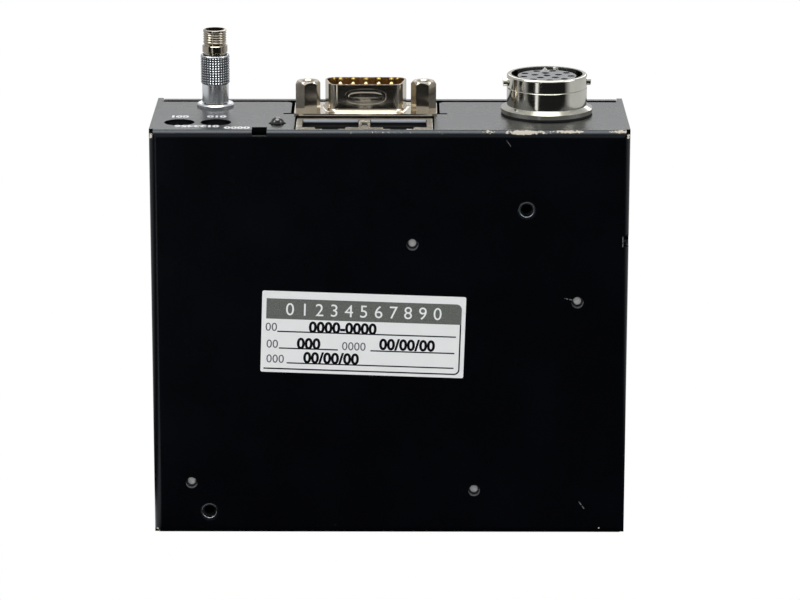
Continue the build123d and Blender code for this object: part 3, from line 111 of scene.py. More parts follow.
# %% Place the camera
photo_width_px = 800
focal_px = 3712.77
sensor_mm = 36
camera_place = Vector((2.24, -784.52, 255.03)) * MM
tilt = math.radians(14.78)
roll = math.radians(0.08)
right = Vector((1, 0, 0))
ahead = Vector((0, math.cos(tilt), -math.sin(tilt)))
above = right.cross(ahead)
camera_x = math.cos(roll) * right + math.sin(roll) * above
camera_y = math.cos(roll) * above - math.sin(roll) * right
camera_data = bpy.data.cameras.new("portrait_camera")
camera_data.sensor_width = sensor_mm
camera_data.lens = sensor_mm * focal_px / photo_width_px
camera_data.clip_start = 0.01
camera = bpy.data.objects.new("portrait_camera", camera_data)
camera_turn = Matrix((camera_x, camera_y, -ahead)).transposed().to_4x4()
camera.matrix_world = Matrix.Translation(camera_place) @ camera_turn
bpy.context.scene.collection.objects.link(camera)
bpy.context.scene.camera = camera
bpy.context.scene.view_settings.view_transform = "Standard"
print("lens:", round(camera_data.lens, 2), "mm")

# %% [markdown]
# ## Node helpers
# Each finish below is a small graph of shader nodes. These helpers add a node, set its sockets and
# wire it up in one line, which keeps the recipes short enough to read.

# %% Helpers that add and wire nodes
def add_node(tree, kind, **settings):
    node = tree.nodes.new(kind)
    for key, value in settings.items():
        setattr(node, key, value)
    return node


def feed(tree, socket, value):
    """Wires an output into a socket, or sets the socket's own value."""
    if isinstance(value, bpy.types.NodeSocket):
        tree.links.new(value, socket)
    else:
        socket.default_value = value


def math_node(tree, operation, a, b=0.0, clamp=False):
    node = add_node(tree, "ShaderNodeMath", operation=operation, use_clamp=clamp)
    feed(tree, node.inputs[0], a)
    feed(tree, node.inputs[1], b)
    return node.outputs[0]


def vector_node(tree, operation, a, b=(0.0, 0.0, 0.0), output=0):
    """Vector arithmetic; output 0 is a vector, output 1 a number."""
    node = add_node(tree, "ShaderNodeVectorMath", operation=operation)
    feed(tree, node.inputs[0], a)
    feed(tree, node.inputs[1], b)
    return node.outputs[output]


print("helpers ready: add_node, feed, math_node, vector_node")

# %% [markdown]
# The next four say what the recipes need most: stretch a value to another range, take the strongest of
# several masks, blend two colours, and draw noise.

# %% Helpers for values, colours and noise
def spread(tree, value, low, high, out_low=0.0, out_high=1.0):
    """Stretches a value from one range to another, held at both ends."""
    node = add_node(tree, "ShaderNodeMapRange", clamp=True)
    for socket, number in zip(node.inputs, (value, low, high, out_low, out_high)):
        feed(tree, socket, number)
    return node.outputs[0]


def strongest(tree, values):
    """The largest of several values."""
    most = values[0]
    for value in values[1:]:
        most = math_node(tree, "MAXIMUM", most, value)
    return most


def blend_colours(tree, share, first, second):
    node = add_node(tree, "ShaderNodeMix", data_type="RGBA")
    feed(tree, node.inputs["Factor"], share)
    feed(tree, node.inputs[6], first)
    feed(tree, node.inputs[7], second)
    return node.outputs[2]


def noise(tree, where, scale, detail=3.0, roughness=0.5):
    node = add_node(tree, "ShaderNodeTexNoise")
    feed(tree, node.inputs["Vector"], where)
    feed(tree, node.inputs["Scale"], scale)
    feed(tree, node.inputs["Detail"], detail)
    feed(tree, node.inputs["Roughness"], roughness)
    return node.outputs[0]


print("helpers ready: spread, strongest, blend_colours, noise")

# %% [markdown]
# An effect that several materials share becomes a node group: it is built once, and each material sets
# its own values on the group's named inputs.

# %% Helpers for node groups
VECTOR = "NodeSocketVector"
NUMBER = "NodeSocketFloat"


def new_group(name, inputs, outputs):
    """An empty node group with named sockets; returns the tree, its inputs and its output sockets."""
    group = bpy.data.node_groups.new(name, "ShaderNodeTree")
    for label, kind, default in inputs:
        socket = group.interface.new_socket(label, in_out="INPUT", socket_type=kind)
        socket.default_value = default
    for label, kind in outputs:
        group.interface.new_socket(label, in_out="OUTPUT", socket_type=kind)
    entry = group.nodes.new("NodeGroupInput")
    return group, entry.outputs, group.nodes.new("NodeGroupOutput").inputs


def use_group(tree, group, **values):
    node = add_node(tree, "ShaderNodeGroup", node_tree=group)
    for label, value in values.items():
        feed(tree, node.inputs[label.replace("_", " ")], value)
    return node.outputs


print("helpers ready: new_group, use_group")

# %% [markdown]
# ## Wear that several finishes share
# Three effects turn up again and again. The first is a fine surface texture: powder coat has the skin
# of an orange, moulded plastic a dull grain, paper a fibre. One group makes them all from two layers of
# noise, and puts out a height for the bump and a slow mottle for the roughness.

# %% Group: surface grain
grain_group, entry, leave = new_group(
    "surface_grain",
    [("Position", VECTOR, (0, 0, 0)), ("Fine Scale", NUMBER, 2500.0), ("Slow Scale", NUMBER, 120.0)],
    [("Height", NUMBER), ("Mottle", NUMBER)],
)
fine = noise(grain_group, entry["Position"], entry["Fine Scale"], 2.0)
slow = noise(grain_group, entry["Position"], entry["Slow Scale"], 4.0, 0.6)
feed(grain_group, leave["Height"], fine)
feed(grain_group, leave["Mottle"], spread(grain_group, slow, 0.3, 0.7))
print("group:", grain_group.name, "with", len(grain_group.nodes), "nodes")

# %% [markdown]
# The second is a scratch: a thin line between two points, broken up where the tool skipped. The
# distance from any point to a segment is simple vector arithmetic, so a scratch costs a few nodes and
# stays sharp at any zoom.

# %% Group: scratch between two points
scratch_group, entry, leave = new_group(
    "scratch_line",
    [
        ("Position", VECTOR, (0, 0, 0)),
        ("Start", VECTOR, (0, 0, 0)),
        ("End", VECTOR, (0, 0, 0)),
        ("Width", NUMBER, 0.0001),
    ],
    [("Mask", NUMBER)],
)
along = vector_node(scratch_group, "SUBTRACT", entry["End"], entry["Start"])
offset = vector_node(scratch_group, "SUBTRACT", entry["Position"], entry["Start"])
squared = vector_node(scratch_group, "DOT_PRODUCT", along, along, output=1)
reached = vector_node(scratch_group, "DOT_PRODUCT", offset, along, output=1)
scaled = add_node(scratch_group, "ShaderNodeVectorMath", operation="SCALE")
feed(scratch_group, scaled.inputs[0], along)
feed(scratch_group, scaled.inputs["Scale"], math_node(scratch_group, "DIVIDE", reached, squared, clamp=True))
apart = vector_node(scratch_group, "DISTANCE", offset, scaled.outputs[0], output=1)
ratio = math_node(scratch_group, "DIVIDE", apart, entry["Width"])
line = spread(scratch_group, ratio, 1.3, 0.6)
skips = spread(scratch_group, noise(scratch_group, entry["Position"], 2200.0, 1.0), 0.36, 0.5)
feed(scratch_group, leave["Mask"], math_node(scratch_group, "MULTIPLY", line, skips))
print("group:", scratch_group.name, "with", len(scratch_group.nodes), "nodes")

# %% [markdown]
# The third is a chipped patch: inside an ellipsoid, noise decides where the coating has gone. Cover
# says how much of the patch is bare, from a few flecks to nearly all.

# %% Group: chipped patch
chip_group, entry, leave = new_group(
    "chipped_patch",
    [
        ("Position", VECTOR, (0, 0, 0)),
        ("Centre", VECTOR, (0, 0, 0)),
        ("Reach", VECTOR, (0.001, 0.001, 0.001)),
        ("Grain", NUMBER, 1500.0),
        ("Cover", NUMBER, 0.5),
    ],
    [("Mask", NUMBER)],
)
away = vector_node(chip_group, "SUBTRACT", entry["Position"], entry["Centre"])
away = vector_node(chip_group, "DIVIDE", away, entry["Reach"])
inside = spread(chip_group, vector_node(chip_group, "LENGTH", away, output=1), 1.0, 0.2)
within = math_node(chip_group, "GREATER_THAN", inside, 0.01)
flecks = noise(chip_group, entry["Position"], entry["Grain"], 3.0, 0.6)
held = math_node(chip_group, "ADD", flecks, math_node(chip_group, "MULTIPLY", inside, entry["Cover"]))
bare = spread(chip_group, held, 0.72, 0.78)
feed(chip_group, leave["Mask"], math_node(chip_group, "MULTIPLY", bare, within))
print("group:", chip_group.name, "with", len(chip_group.nodes), "nodes")

# %% [markdown]
# ## Finishes
# A material starts from the Principled shader. Constants are set on its own sockets, and only what
# changes over the surface comes from nodes: the texture's height through a Bump node, the mottle into
# the roughness, and any wear into the colour.

# %% Helpers: start a material
def new_material(name, **plain):
    material = bpy.data.materials.new(name)
    material.use_nodes = True
    tree = material.node_tree
    shader = tree.nodes["Principled BSDF"]
    for label, value in plain.items():
        shader.inputs[label.replace("_", " ")].default_value = value
    place = add_node(tree, "ShaderNodeTexCoord").outputs["Object"]
    return material, tree, shader, place


def bump(tree, shader, height, distance):
    node = add_node(tree, "ShaderNodeBump")
    node.inputs["Distance"].default_value = distance
    feed(tree, node.inputs["Height"], height)
    feed(tree, shader.inputs["Normal"], node.outputs[0])


def mottled(tree, shader, mottle, colour, tint, low_gloss, high_gloss):
    """Lets the colour darken by a share of tint and the roughness wander between two values."""
    darker = tuple(c * (1 - tint) for c in colour) + (1.0,)
    feed(tree, shader.inputs["Base Color"], blend_colours(tree, mottle, darker, tuple(colour) + (1.0,)))
    feed(tree, shader.inputs["Roughness"], spread(tree, mottle, 0.0, 1.0, low_gloss, high_gloss))


print("helpers ready: new_material, bump, mottled")

# %% [markdown]
# ### Powder coat
# The box is sprayed near-black with a satin sheen and the faintest orange peel. Handling has chipped
# it where it is most exposed: along the fold at the front of the top edge the pale primer shows in
# flecks and one longer run, and there are a few scratches and specks on the face. Each chipped place is
# a patch of its own, with its place in millimetres from the middle of the box's underside.

# %% Powder coat: the chipped places
coat, tree, shader, place = new_material(
    "black_powder_coat", Specular_IOR_Level=0.34, Specular_Tint=(0.84, 0.93, 1, 1)
)
# x, height and depth behind the front face; reach along x, y and z; scale of the flecks; cover
patches = [
    (20.9, 89.2, 0.7, (1.6, 0.9, 0.6), 1700.0, 0.36),
    (28.8, 89.05, 0.55, (6.4, 1.1, 0.8), 1100.0, 0.5),
    (37.6, 89.2, 0.75, (5.6, 0.7, 0.5), 1500.0, 0.42),
    (49.2, 89.1, 0.8, (3.4, 0.7, 0.6), 1500.0, 0.5),
    (50.6, 88.2, 0.6, (0.7, 0.8, 1.1), 1800.0, 0.4),
    (0.0, 89.1, 0.3, (20.0, 1.0, 0.5), 2600.0, 0.12),
    (-50.6, 88.4, 0.6, (0.9, 1.0, 1.0), 1600.0, 0.4),
    (-50.2, 0.7, 0.6, (0.9, 1.0, 0.8), 1600.0, 0.4),
    (50.3, 65.5, 0.9, (0.7, 1.3, 1.8), 2600.0, 0.6),
    (45.5, 1.35, 0.0, (0.25, 0.5, 0.2), 900.0, 0.9),
    (-11.0, 1.8, 0.0, (2.4, 0.5, 0.5), 1800.0, 0.12),
]
chips = []
for x, z, depth, size, fleck, cover in patches:
    spot, extent = behind_front(x, z, depth), Vector(size) * MM
    chips.append(use_group(
        tree, chip_group, Position=place, Centre=spot, Reach=extent, Grain=fleck, Cover=cover
    )["Mask"])
wear = strongest(tree, chips)
print("powder coat:", len(patches), "chipped patches")

# %% [markdown]
# Three scratches cross the face, and the rim of the hole at the right fold is rubbed to a thin line.

# %% Powder coat: the scratches
# x and height of both ends, and the width
scratches = [
    (37.5, 52.9, 39.9, 52.4, 0.10),
    (41.1, 7.3, 42.2, 5.8, 0.10),
    (24.8, 87.4, 25.6, 86.2, 0.08),
    (49.68, 66.7, 49.68, 64.3, 0.1),
]
lines = strongest(tree, [
    use_group(
        tree, scratch_group, Position=place,
        Start=behind_front(x, z), End=behind_front(end_x, end_z), Width=width * MM,
    )["Mask"]
    for x, z, end_x, end_z, width in scratches
])
print("powder coat:", len(scratches), "scratches")

# %% [markdown]
# The coat itself is a blue-black that hardly changes from place to place. The scratches turn it grey,
# and where it has chipped off, the pale primer shows, rougher and a trace lower.

# %% Powder coat: colour, sheen and relief
grain = use_group(tree, grain_group, Position=place, Fine_Scale=2600.0, Slow_Scale=55.0)
deep_black, soft_black = (0.0005, 0.0007, 0.0016, 1), (0.0007, 0.001, 0.0028, 1)
scratch_grey, primer = (0.16, 0.16, 0.16, 1), (0.62, 0.57, 0.48, 1)
coat_colour = blend_colours(tree, grain["Mottle"], deep_black, soft_black)
coat_colour = blend_colours(tree, lines, coat_colour, scratch_grey)
feed(tree, shader.inputs["Base Color"], blend_colours(tree, wear, coat_colour, primer))
sheen = spread(tree, grain["Mottle"], 0.0, 1.0, 0.25, 0.3)
chip_roughness = math_node(tree, "MULTIPLY", wear, 0.6)
feed(tree, shader.inputs["Roughness"], math_node(tree, "MAXIMUM", sheen, chip_roughness))
bump(tree, shader, math_node(tree, "SUBTRACT", grain["Height"], wear), 0.000008)
print("powder coat:", len(tree.nodes), "nodes")

# %% [markdown]
# ### Metals
# Bright nickel is a warm mirror with hairline marks; the plug's receptacle is cooler and more satin.
# Turned pieces carry rings from the lathe tool, so their bump comes from noise that varies quickly
# along the axis and hardly at all across it. Gold contacts are smooth.

# %% Plated metals
def plated(name, colour, low_gloss, high_gloss, rings=0.0):
    material, tree, shader, place = new_material(name, Metallic=1.0)
    grain = use_group(tree, grain_group, Position=place, Fine_Scale=1800.0, Slow_Scale=260.0)
    mottled(tree, shader, grain["Mottle"], colour, 0.12, low_gloss, high_gloss)
    height = grain["Height"]
    if rings:
        stretched = vector_node(tree, "MULTIPLY", place, (40.0, 40.0, 9000.0))
        lathe_marks = math_node(tree, "MULTIPLY", noise(tree, stretched, 1.0, 2.0), rings)
        height = math_node(tree, "ADD", height, lathe_marks)
    bump(tree, shader, height, 0.000002)
    return material


bright_nickel = plated("bright_nickel", (0.70, 0.69, 0.62), 0.07, 0.13, rings=0.5)
shell_nickel = plated("shell_nickel", (0.66, 0.60, 0.50), 0.1, 0.18)
satin_nickel = plated("satin_nickel", (0.74, 0.76, 0.79), 0.2, 0.3, rings=1.0)
rim_steel = plated("rim_steel", (0.30, 0.34, 0.38), 0.22, 0.36, rings=0.6)
tail_nickel = plated("tail_nickel", (0.42, 0.38, 0.31), 0.12, 0.2, rings=1.0)
jack_metal = plated("jack_shield_metal", (0.76, 0.74, 0.70), 0.14, 0.24)
zinc_steel = plated("zinc_steel", (0.56, 0.57, 0.60), 0.25, 0.4, rings=0.6)
dark_zinc = plated("dark_zinc", (0.16, 0.17, 0.19), 0.2, 0.35, rings=0.6)
tinned = plated("tinned_metal", (0.68, 0.68, 0.68), 0.3, 0.45)
gold = plated("gold_plate", (0.95, 0.74, 0.30), 0.15, 0.25)
print("finishes so far:", len([m for m in bpy.data.materials if m.use_nodes]))

# %% [markdown]
# ### Plastics, paper, rubber and board
# Moulded black housings are matte with a sparkle of grain. The insulator of the nine-pin connector is
# glossy amber. The sticker is coated paper, the boards wear green solder mask, and the lamp has a
# dark lens with a wet shine. The cut tips of the screws and the tip of the key rib are pale and evenly
# bright, a painted highlight in a non-metal finish, so the same helper serves for them too.

# %% Plastics and the rest
def grained(name, colour, low_gloss, high_gloss, fine=2500.0, slow=120.0, depth=0.00001, tint=0.12, **plain):
    """A plain finish with grain: its roughness wanders between two values and its colour a little."""
    material, tree, shader, place = new_material(name, **plain)
    grain = use_group(tree, grain_group, Position=place, Fine_Scale=fine, Slow_Scale=slow)
    mottled(tree, shader, grain["Mottle"], colour, tint, low_gloss, high_gloss)
    bump(tree, shader, grain["Height"], depth)
    return material


black_plastic = grained("black_moulding", (0.012, 0.012, 0.013), 0.4, 0.55, fine=4000.0, depth=0.000012)
insert_plastic = grained("insert_moulding", (0.07, 0.075, 0.085), 0.25, 0.36, fine=3000.0, depth=0.000006)
white_plastic = grained("white_moulding", (0.72, 0.70, 0.64), 0.35, 0.5)
amber = grained(
    "amber_moulding", (1.0, 0.40, 0.035), 0.12, 0.2, fine=1500.0, tint=0.3, depth=0.000004, Coat_Weight=0.4
)
paper = grained(
    "sticker_paper", (0.88, 0.895, 0.90), 0.45, 0.6, fine=5200.0, slow=180.0, tint=0.03, depth=0.000004
)
board_mask = grained("green_board", (0.01, 0.07, 0.025), 0.25, 0.4, fine=700.0, slow=160.0, tint=0.4)
pale_plastic = grained("pale_moulding", (0.85, 0.85, 0.83), 0.25, 0.4)
# Pale, evenly bright non-metal: a painted highlight for the screw tips and the key rib's tip.
painted_glint_white = grained("painted_glint_white", (0.92, 0.92, 0.90), 0.3, 0.45, tint=0.3)
lens = grained("lamp_lens", (0.004, 0.005, 0.006), 0.03, 0.05, tint=0.2, depth=0.000001, Coat_Weight=0.5)
rubber = grained("gasket_rubber", (0.008, 0.008, 0.009), 0.6, 0.75, fine=3500.0, depth=0.00002)
ribbon_grey = grained("ribbon_grey", (0.28, 0.28, 0.29), 0.4, 0.55, fine=900.0)
# Pale blue-grey: a painted highlight on the ledges in the jack mouths.
painted_ledge_light = grained("ledge_painted_highlight", (0.62, 0.68, 0.76), 0.2, 0.3)
print("finishes so far:", len([m for m in bpy.data.materials if m.use_nodes]))

# %% [markdown]
# The grip of the plug is dark grey between its teeth, painted shade in the grooves, and silver and
# smoother on the tips, so its colour and roughness follow the distance from the plug's own axis.

# %% Knurled metal
knurl_metal, tree, shader, place = new_material("knurled_nickel", Metallic=1.0)
from_axis = vector_node(tree, "SUBTRACT", place, (coax.x, coax.y, 0.0))
flattened = vector_node(tree, "MULTIPLY", from_axis, (1.0, 1.0, 0.0))
from_axis = vector_node(tree, "LENGTH", flattened, output=1)
tip = spread(tree, from_axis, 2.96 * MM, 3.1 * MM)
smooth_part = math_node(tree, "LESS_THAN", from_axis, 2.905 * MM)
outside_groove_shade = math_node(tree, "MAXIMUM", tip, smooth_part)
# Dark grey in the grooves is painted shade; silver on the tips and on the smooth sleeve.
groove_painted_shade, tooth_silver = (0.08, 0.09, 0.10, 1), (0.80, 0.83, 0.86, 1)
feed(tree, shader.inputs["Base Color"], blend_colours(tree, outside_groove_shade, groove_painted_shade, tooth_silver))
feed(tree, shader.inputs["Roughness"], spread(tree, outside_groove_shade, 0.0, 1.0, 0.5, 0.24))
print("knurled metal:", len(tree.nodes), "nodes")

# %% [markdown]
# ### Who wears what
# One table says which finish each solid gets. The coated sheet metal takes the flush heads of the
# standoffs with it, since they were sprayed together with the tray.

# %% Give every solid its finish
finish_of = {
    coat: ["chassis_tray", "rear_cover", "cover_screws", "board_standoffs"],
    dark_zinc: ["mounting_nuts", "board_screws"],
    zinc_steel: ["jackscrew_inserts", "receptacle_nut", "coax_receptacle_nut"],
    paper: ["paper_label"],
    board_mask: ["main_board", "switch_board", "receptacle_board"],
    black_plastic: [
        "low_digit_switch_body", "high_digit_switch_body", "zero_switch_body", "zero_plunger", "lamp_spacer",
        "nine_pin_bracket", "network_jack_housing", "network_transformer", "ribbon_header", "ribbon_plug",
        "sensor_header", "processor_chip", "driver_chips", "power_coil",
    ],
    white_plastic: ["low_digit_rotor", "high_digit_rotor", "coax_receptacle_insulator", "plug_insulator"],
    tinned: ["digit_switch_leads", "lamp_leads", "coax_lead", "crystal", "capacitors"],
    lens: ["status_lamp"],
    shell_nickel: ["nine_pin_shell", "jackscrews"],
    amber: ["nine_pin_insulator"],
    gold: [
        "nine_pin_contacts", "network_jack_contacts", "coax_receptacle_contact", "plug_contact",
        "receptacle_sockets", "ribbon_header_pins", "sensor_header_pins",
    ],
    jack_metal: ["network_jack_shield"],
    satin_nickel: ["coax_receptacle_body"],
    tail_nickel: ["plug_body"],
    bright_nickel: ["receptacle_shell", "bayonet_pins"],
    rubber: ["receptacle_gasket"],
    insert_plastic: ["receptacle_insert"],
    pale_plastic: ["receptacle_pointer"],
    ribbon_grey: ["ribbon_cable"],
}


def dress(thing, material):
    thing.data.materials.clear()
    thing.data.materials.append(material)


dressed = set()
for material, names in finish_of.items():
    for name in names:
        solid = frame["nodes"].get(name)
        if solid is not None:
            dress(solid, material)
            dressed.add(name)
print("dressed:", len(dressed), "left bare:", sorted(set(frame["nodes"]) - dressed))

# %% [markdown]
# ## Turned pieces in mesh code
# A lathe makes a piece by turning a profile, and so do these helpers: each profile point becomes a ring
# of vertices, and neighbouring rings are joined by faces. A function of angle, radius and height may
# change the radius, which is how a thread's helix and the key slot in the plug's collar are cut
# without any boolean.

# %% Helpers: rings, profiles and finished pieces
def evenly(count):
    """Angles of a full turn in equal steps."""
    return [2 * math.pi * i / count for i in range(count)]


def join_rings(work, rings, inside_out=False):
    """Faces between neighbouring closed rings of vertices."""
    for low, high in zip(rings, rings[1:]):
        for i in range(len(low)):
            j = (i + 1) % len(low)
            if inside_out:
                work.faces.new((low[i], high[i], high[j], low[j]))
            else:
                work.faces.new((low[i], low[j], high[j], high[i]))


def around_axis(foot, radius, angle, height):
    """A point round an upright axis that stands on foot; radius and height are in millimetres."""
    x = foot.x + radius * MM * math.cos(angle)
    y = foot.y + radius * MM * math.sin(angle)
    return (x, y, foot.z + height * MM)


def turn_profile(work, foot, profile, angles, cut=None):
    """Turns points of (radius, height) round an upright axis; cut may give another radius."""
    rings = []
    for radius, height in profile:
        ring = []
        for angle in angles:
            r = cut(angle, radius, height) if cut else radius
            ring.append(work.verts.new(around_axis(foot, r, angle, height)))
        rings.append(ring)
    join_rings(work, rings)
    return rings


def weld(work):
    """Merges vertices that fell on the same place."""
    bmesh.ops.remove_doubles(work, verts=work.verts, dist=0.000001)


def finish_mesh(name, work, material, body="box", sharp=32):
    """Makes a piece of the bmesh: smooth, with edges sharper than so many degrees left crisp."""
    shape = bpy.data.meshes.new(name)
    work.normal_update()
    work.to_mesh(shape)
    work.free()
    shape.shade_smooth()
    shape.set_sharp_from_angle(angle=math.radians(sharp))
    piece = bpy.data.objects.new(name, shape)
    bpy.context.scene.collection.objects.link(piece)
    dress(piece, material)
    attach(piece, body)
    return piece


print("helpers ready: evenly, join_rings, around_axis, turn_profile, weld, finish_mesh")

# %% [markdown]
# ### The plug's tail
# Above the grip the plug shows a plain collar with a key slot and then a short fine thread, which
# would hold the cable clamp. The thread is cut by lowering the radius along a helix, and the profile
# has eight rings per turn so that the crests stay crisp. The profile runs down the outside and up the
# bore, so the open end and its inside are real surfaces.

# %% How the slot and the thread change the radius
coax_foot = Vector((coax.x, coax.y, top_z))
plug_length = (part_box("plug_body")[1][2] - top_z) / MM
thread_start = 14.1
thread_pitch = 0.53
thread_depth = 0.2
thread_radius = 2.52
rings_per_turn = 8
collar_radius = 2.72
slot_angle = math.radians(-113)
slot_half_turn = 0.2 / collar_radius
slot_bottom, slot_top, slot_floor = 12.3, 13.56, 2.46
outer_wall = 2.5                    # only radii beyond this one are cut


def plug_cut(angle, radius, height):
    gap = abs((angle - slot_angle + math.pi) % (2 * math.pi) - math.pi)
    if slot_bottom < height < slot_top and radius > outer_wall and gap < slot_half_turn * 1.001:
        return slot_floor
    if height > thread_start and radius > outer_wall:
        phase = (height / thread_pitch + angle / (2 * math.pi)) % 1.0
        fade = min(1.0, (height - thread_start) / 0.2, (plug_length - 0.35 - height) / 0.25)
        return radius - thread_depth * max(fade, 0.0) * abs(2 * phase - 1)
    return radius


print("thread from", thread_start, "to", round(plug_length, 2), "mm above the box")

# %% [markdown]
# Two extra columns of vertices stand close to each edge of the slot, so that its sides are upright
# walls and not slopes.

# %% Turn the plug's body
slot_columns = [slot_angle + side * slot_half_turn * share for side in (-1, 1) for share in (1.0, 1.08)]
plug_angles = sorted([angle - math.pi for angle in evenly(112)] + slot_columns)
bore, inner_bore, stem_bottom, bore_bottom = 2.08, 1.88, -5.0, 5.95
profile = [
    (inner_bore, stem_bottom), (2.42, stem_bottom), (2.42, 11.95), (2.62, 11.95),
    (collar_radius, 12.05), (collar_radius, 12.29), (collar_radius, 12.31), (collar_radius, 13.4),
    (2.57, 13.55), (2.33, 13.57), (2.33, 13.9), (thread_radius, thread_start),
]
ring_gap = thread_pitch / rings_per_turn
for ring in range(int((plug_length - 0.1 - thread_start) / ring_gap)):
    profile.append((thread_radius, thread_start + (ring + 1) * ring_gap))
profile += [(2.3, plug_length), (bore, plug_length), (bore, bore_bottom), (inner_bore, bore_bottom)]
profile += [(inner_bore, stem_bottom)]
work = bmesh.new()
turn_profile(work, coax_foot, profile, plug_angles, plug_cut)
weld(work)
plug_tail = finish_mesh("plug_body_turned", work, tail_nickel)
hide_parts("plug_body")
print("plug body:", len(plug_tail.data.polygons), "faces")

# %% [markdown]
# ### The knurled grip
# The release sleeve has a square knurl: eleven rows of little pyramids, thirty-two round. A grid of
# vertices is raised at every second crossing, and each cell is split through its raised corner, so
# every tooth gets four flat sides. Below the grip the sleeve is smooth, and above it the edge is broken
# by a small chamfer.

# %% The smooth parts below and above the grip
teeth, rows = 32, 11
grip_low, grip_high = 5.14, 11.12
valley, crest = 2.92, 3.2
sleeve_bore, skirt_bottom = 2.47, 0.95
columns = evenly(2 * teeth)
work = bmesh.new()
lower = [(sleeve_bore, skirt_bottom), (2.84, skirt_bottom), (2.89, 1.0), (2.89, 4.9), (2.89, 5.04)]
lower_rings = turn_profile(work, coax_foot, lower + [(valley, grip_low)], columns)
upper = [(valley, grip_high), (3.14, 11.2), (3.0, 11.4), (2.86, 11.45), (2.77, 11.45), (2.77, 10.6)]
upper += [(sleeve_bore, 10.6), (sleeve_bore, skirt_bottom)]
upper_rings = turn_profile(work, coax_foot, upper, columns)
print("sleeve:", len(lower_rings) + len(upper_rings), "smooth rings")

# %% [markdown]
# Each cell of the grid becomes two triangles. The cut between them has to start at the raised corner,
# which changes sides from cell to cell like the squares of a chessboard.

# %% The teeth of the grip
grid = [lower_rings[-1]]
for row in range(1, 2 * rows):
    height = grip_low + (grip_high - grip_low) * row / (2 * rows)
    ring = []
    for column, angle in enumerate(columns):
        radius = crest if row % 2 and column % 2 else valley
        ring.append(work.verts.new(around_axis(coax_foot, radius, angle, height)))
    grid.append(ring)
grid.append(upper_rings[0])
for row in range(2 * rows):
    for column in range(2 * teeth):
        beyond = (column + 1) % (2 * teeth)
        cell = [grid[row][column], grid[row][beyond], grid[row + 1][beyond], grid[row + 1][column]]
        first = 0 if (row % 2) == (column % 2) else 1
        opposite = (first + 2) % 4
        work.faces.new((cell[first], cell[first + 1], cell[opposite]))
        work.faces.new((cell[first], cell[opposite], cell[(first + 3) % 4]))
weld(work)
grip = finish_mesh("release_sleeve_knurled", work, knurl_metal, body="release_sleeve", sharp=20)
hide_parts("plug_release_sleeve")
print("grip:", teeth * rows, "teeth,", len(grip.data.polygons), "faces")

# %% [markdown]
# ### Cut threads in the open holes
# Light catches the thread inside each standoff, mounting nut and jackscrew. A thread here is a band
# that rises to a low ridge along a helix on the wall of the hole. The helper makes one along any axis,
# and its outer edge sits just inside the bore of the solid that carries it.

# %% Helper: thread on the wall of a hole
def inner_thread(work, mouth, inward, radius, pitch, length, depth, around=40):
    """A threaded wall from the mouth inward; the lengths are in millimetres."""
    side = inward.orthogonal().normalized()
    other = inward.cross(side)
    steps = int(length / pitch * 4)
    rings = []
    for step in range(steps + 1):
        height = length * step / steps
        ring = []
        for i, angle in enumerate(evenly(around)):
            phase = (height / pitch + i / around) % 1.0
            r = (radius - 0.01 - depth * (1 - abs(2 * phase - 1))) * MM
            spot = mouth + inward * height * MM + side * r * math.cos(angle) + other * r * math.sin(angle)
            ring.append(work.verts.new(spot))
        rings.append(ring)
    join_rings(work, rings, inside_out=True)


print("helper ready: inner_thread")

# %% [markdown]
# The four standoffs and the two mounting nuts are seen through the front face. Their places are in
# millimetres on that face.

# %% Threads behind the front face
into_box = Vector((0, 1, 0))
standoffs = [(4.84, 64.65), (40.2, 51.92), (-42.91, 11.47), (18.34, 9.74)]
nuts = [(29.15, 72.23), (-39.05, 4.99)]
work = bmesh.new()
for x, z in standoffs:
    inner_thread(work, behind_front(x, z, 0.25), into_box, radius=1.3, pitch=0.5, length=3.0, depth=0.08)
thread_piece = finish_mesh("standoff_threads", work, zinc_steel, sharp=60)
work = bmesh.new()
for x, z in nuts:
    inner_thread(work, behind_front(x, z, 0.45), into_box, radius=1.3, pitch=0.5, length=2.6, depth=0.12)
thread_piece = finish_mesh("mounting_nut_threads", work, zinc_steel, sharp=60)
print("threads cut in", len(standoffs) + len(nuts), "holes of the front face")

# %% [markdown]
# Each mounting nut has a rounded rim that draws a bright circle in its hole. A thin round ring, lying
# just under the face, does the same.

# %% Rims of the mounting nuts
def ring_round(work, centre, ring_radius, wire_radius, around=48, across=10):
    """A thin round ring whose axis is Y."""
    rings = []
    for turn in evenly(around):
        ring = []
        for swing in evenly(across):
            r = ring_radius + wire_radius * math.cos(swing)
            spot = Vector((r * math.cos(turn), -wire_radius * math.sin(swing), r * math.sin(turn)))
            ring.append(work.verts.new(centre + spot * MM))
        rings.append(ring)
    join_rings(work, rings + rings[:1])


work = bmesh.new()
for x, z in nuts:
    ring_round(work, behind_front(x, z, 0.4), ring_radius=1.62, wire_radius=0.19)
nut_rims = finish_mesh("mounting_nut_rims", work, rim_steel, sharp=60)
print("rims:", len(nuts))

# %% [markdown]
# The screws that hold the board come through the standoffs from behind, and their cut tips catch the
# light, which is painted on as a pale, evenly bright highlight. Each is a low dome of four rings on the
# end of its screw.

# %% Tips of the board's screws
screw_end_y = corners_of("board_screws")[0].y
dome = [(0.84, 0.0), (0.7, 0.1), (0.4, 0.17), (0.0, 0.2)]
work = bmesh.new()
for x, z in standoffs:
    rings = []
    for radius, out in dome:
        ring = []
        for angle in evenly(24):
            spot = Vector((radius * math.cos(angle), 0.0, radius * math.sin(angle))) * MM
            ring.append(work.verts.new(Vector((x * MM, screw_end_y - out * MM, z * MM)) + spot))
        rings.append(ring)
    join_rings(work, rings)
weld(work)
screw_tips = finish_mesh("screw_tips", work, painted_glint_white, sharp=60)
print("screw tips:", len(standoffs))

# %% [markdown]
# Both jackscrews of the nine-pin connector are tapped for the screws of its mating plug.

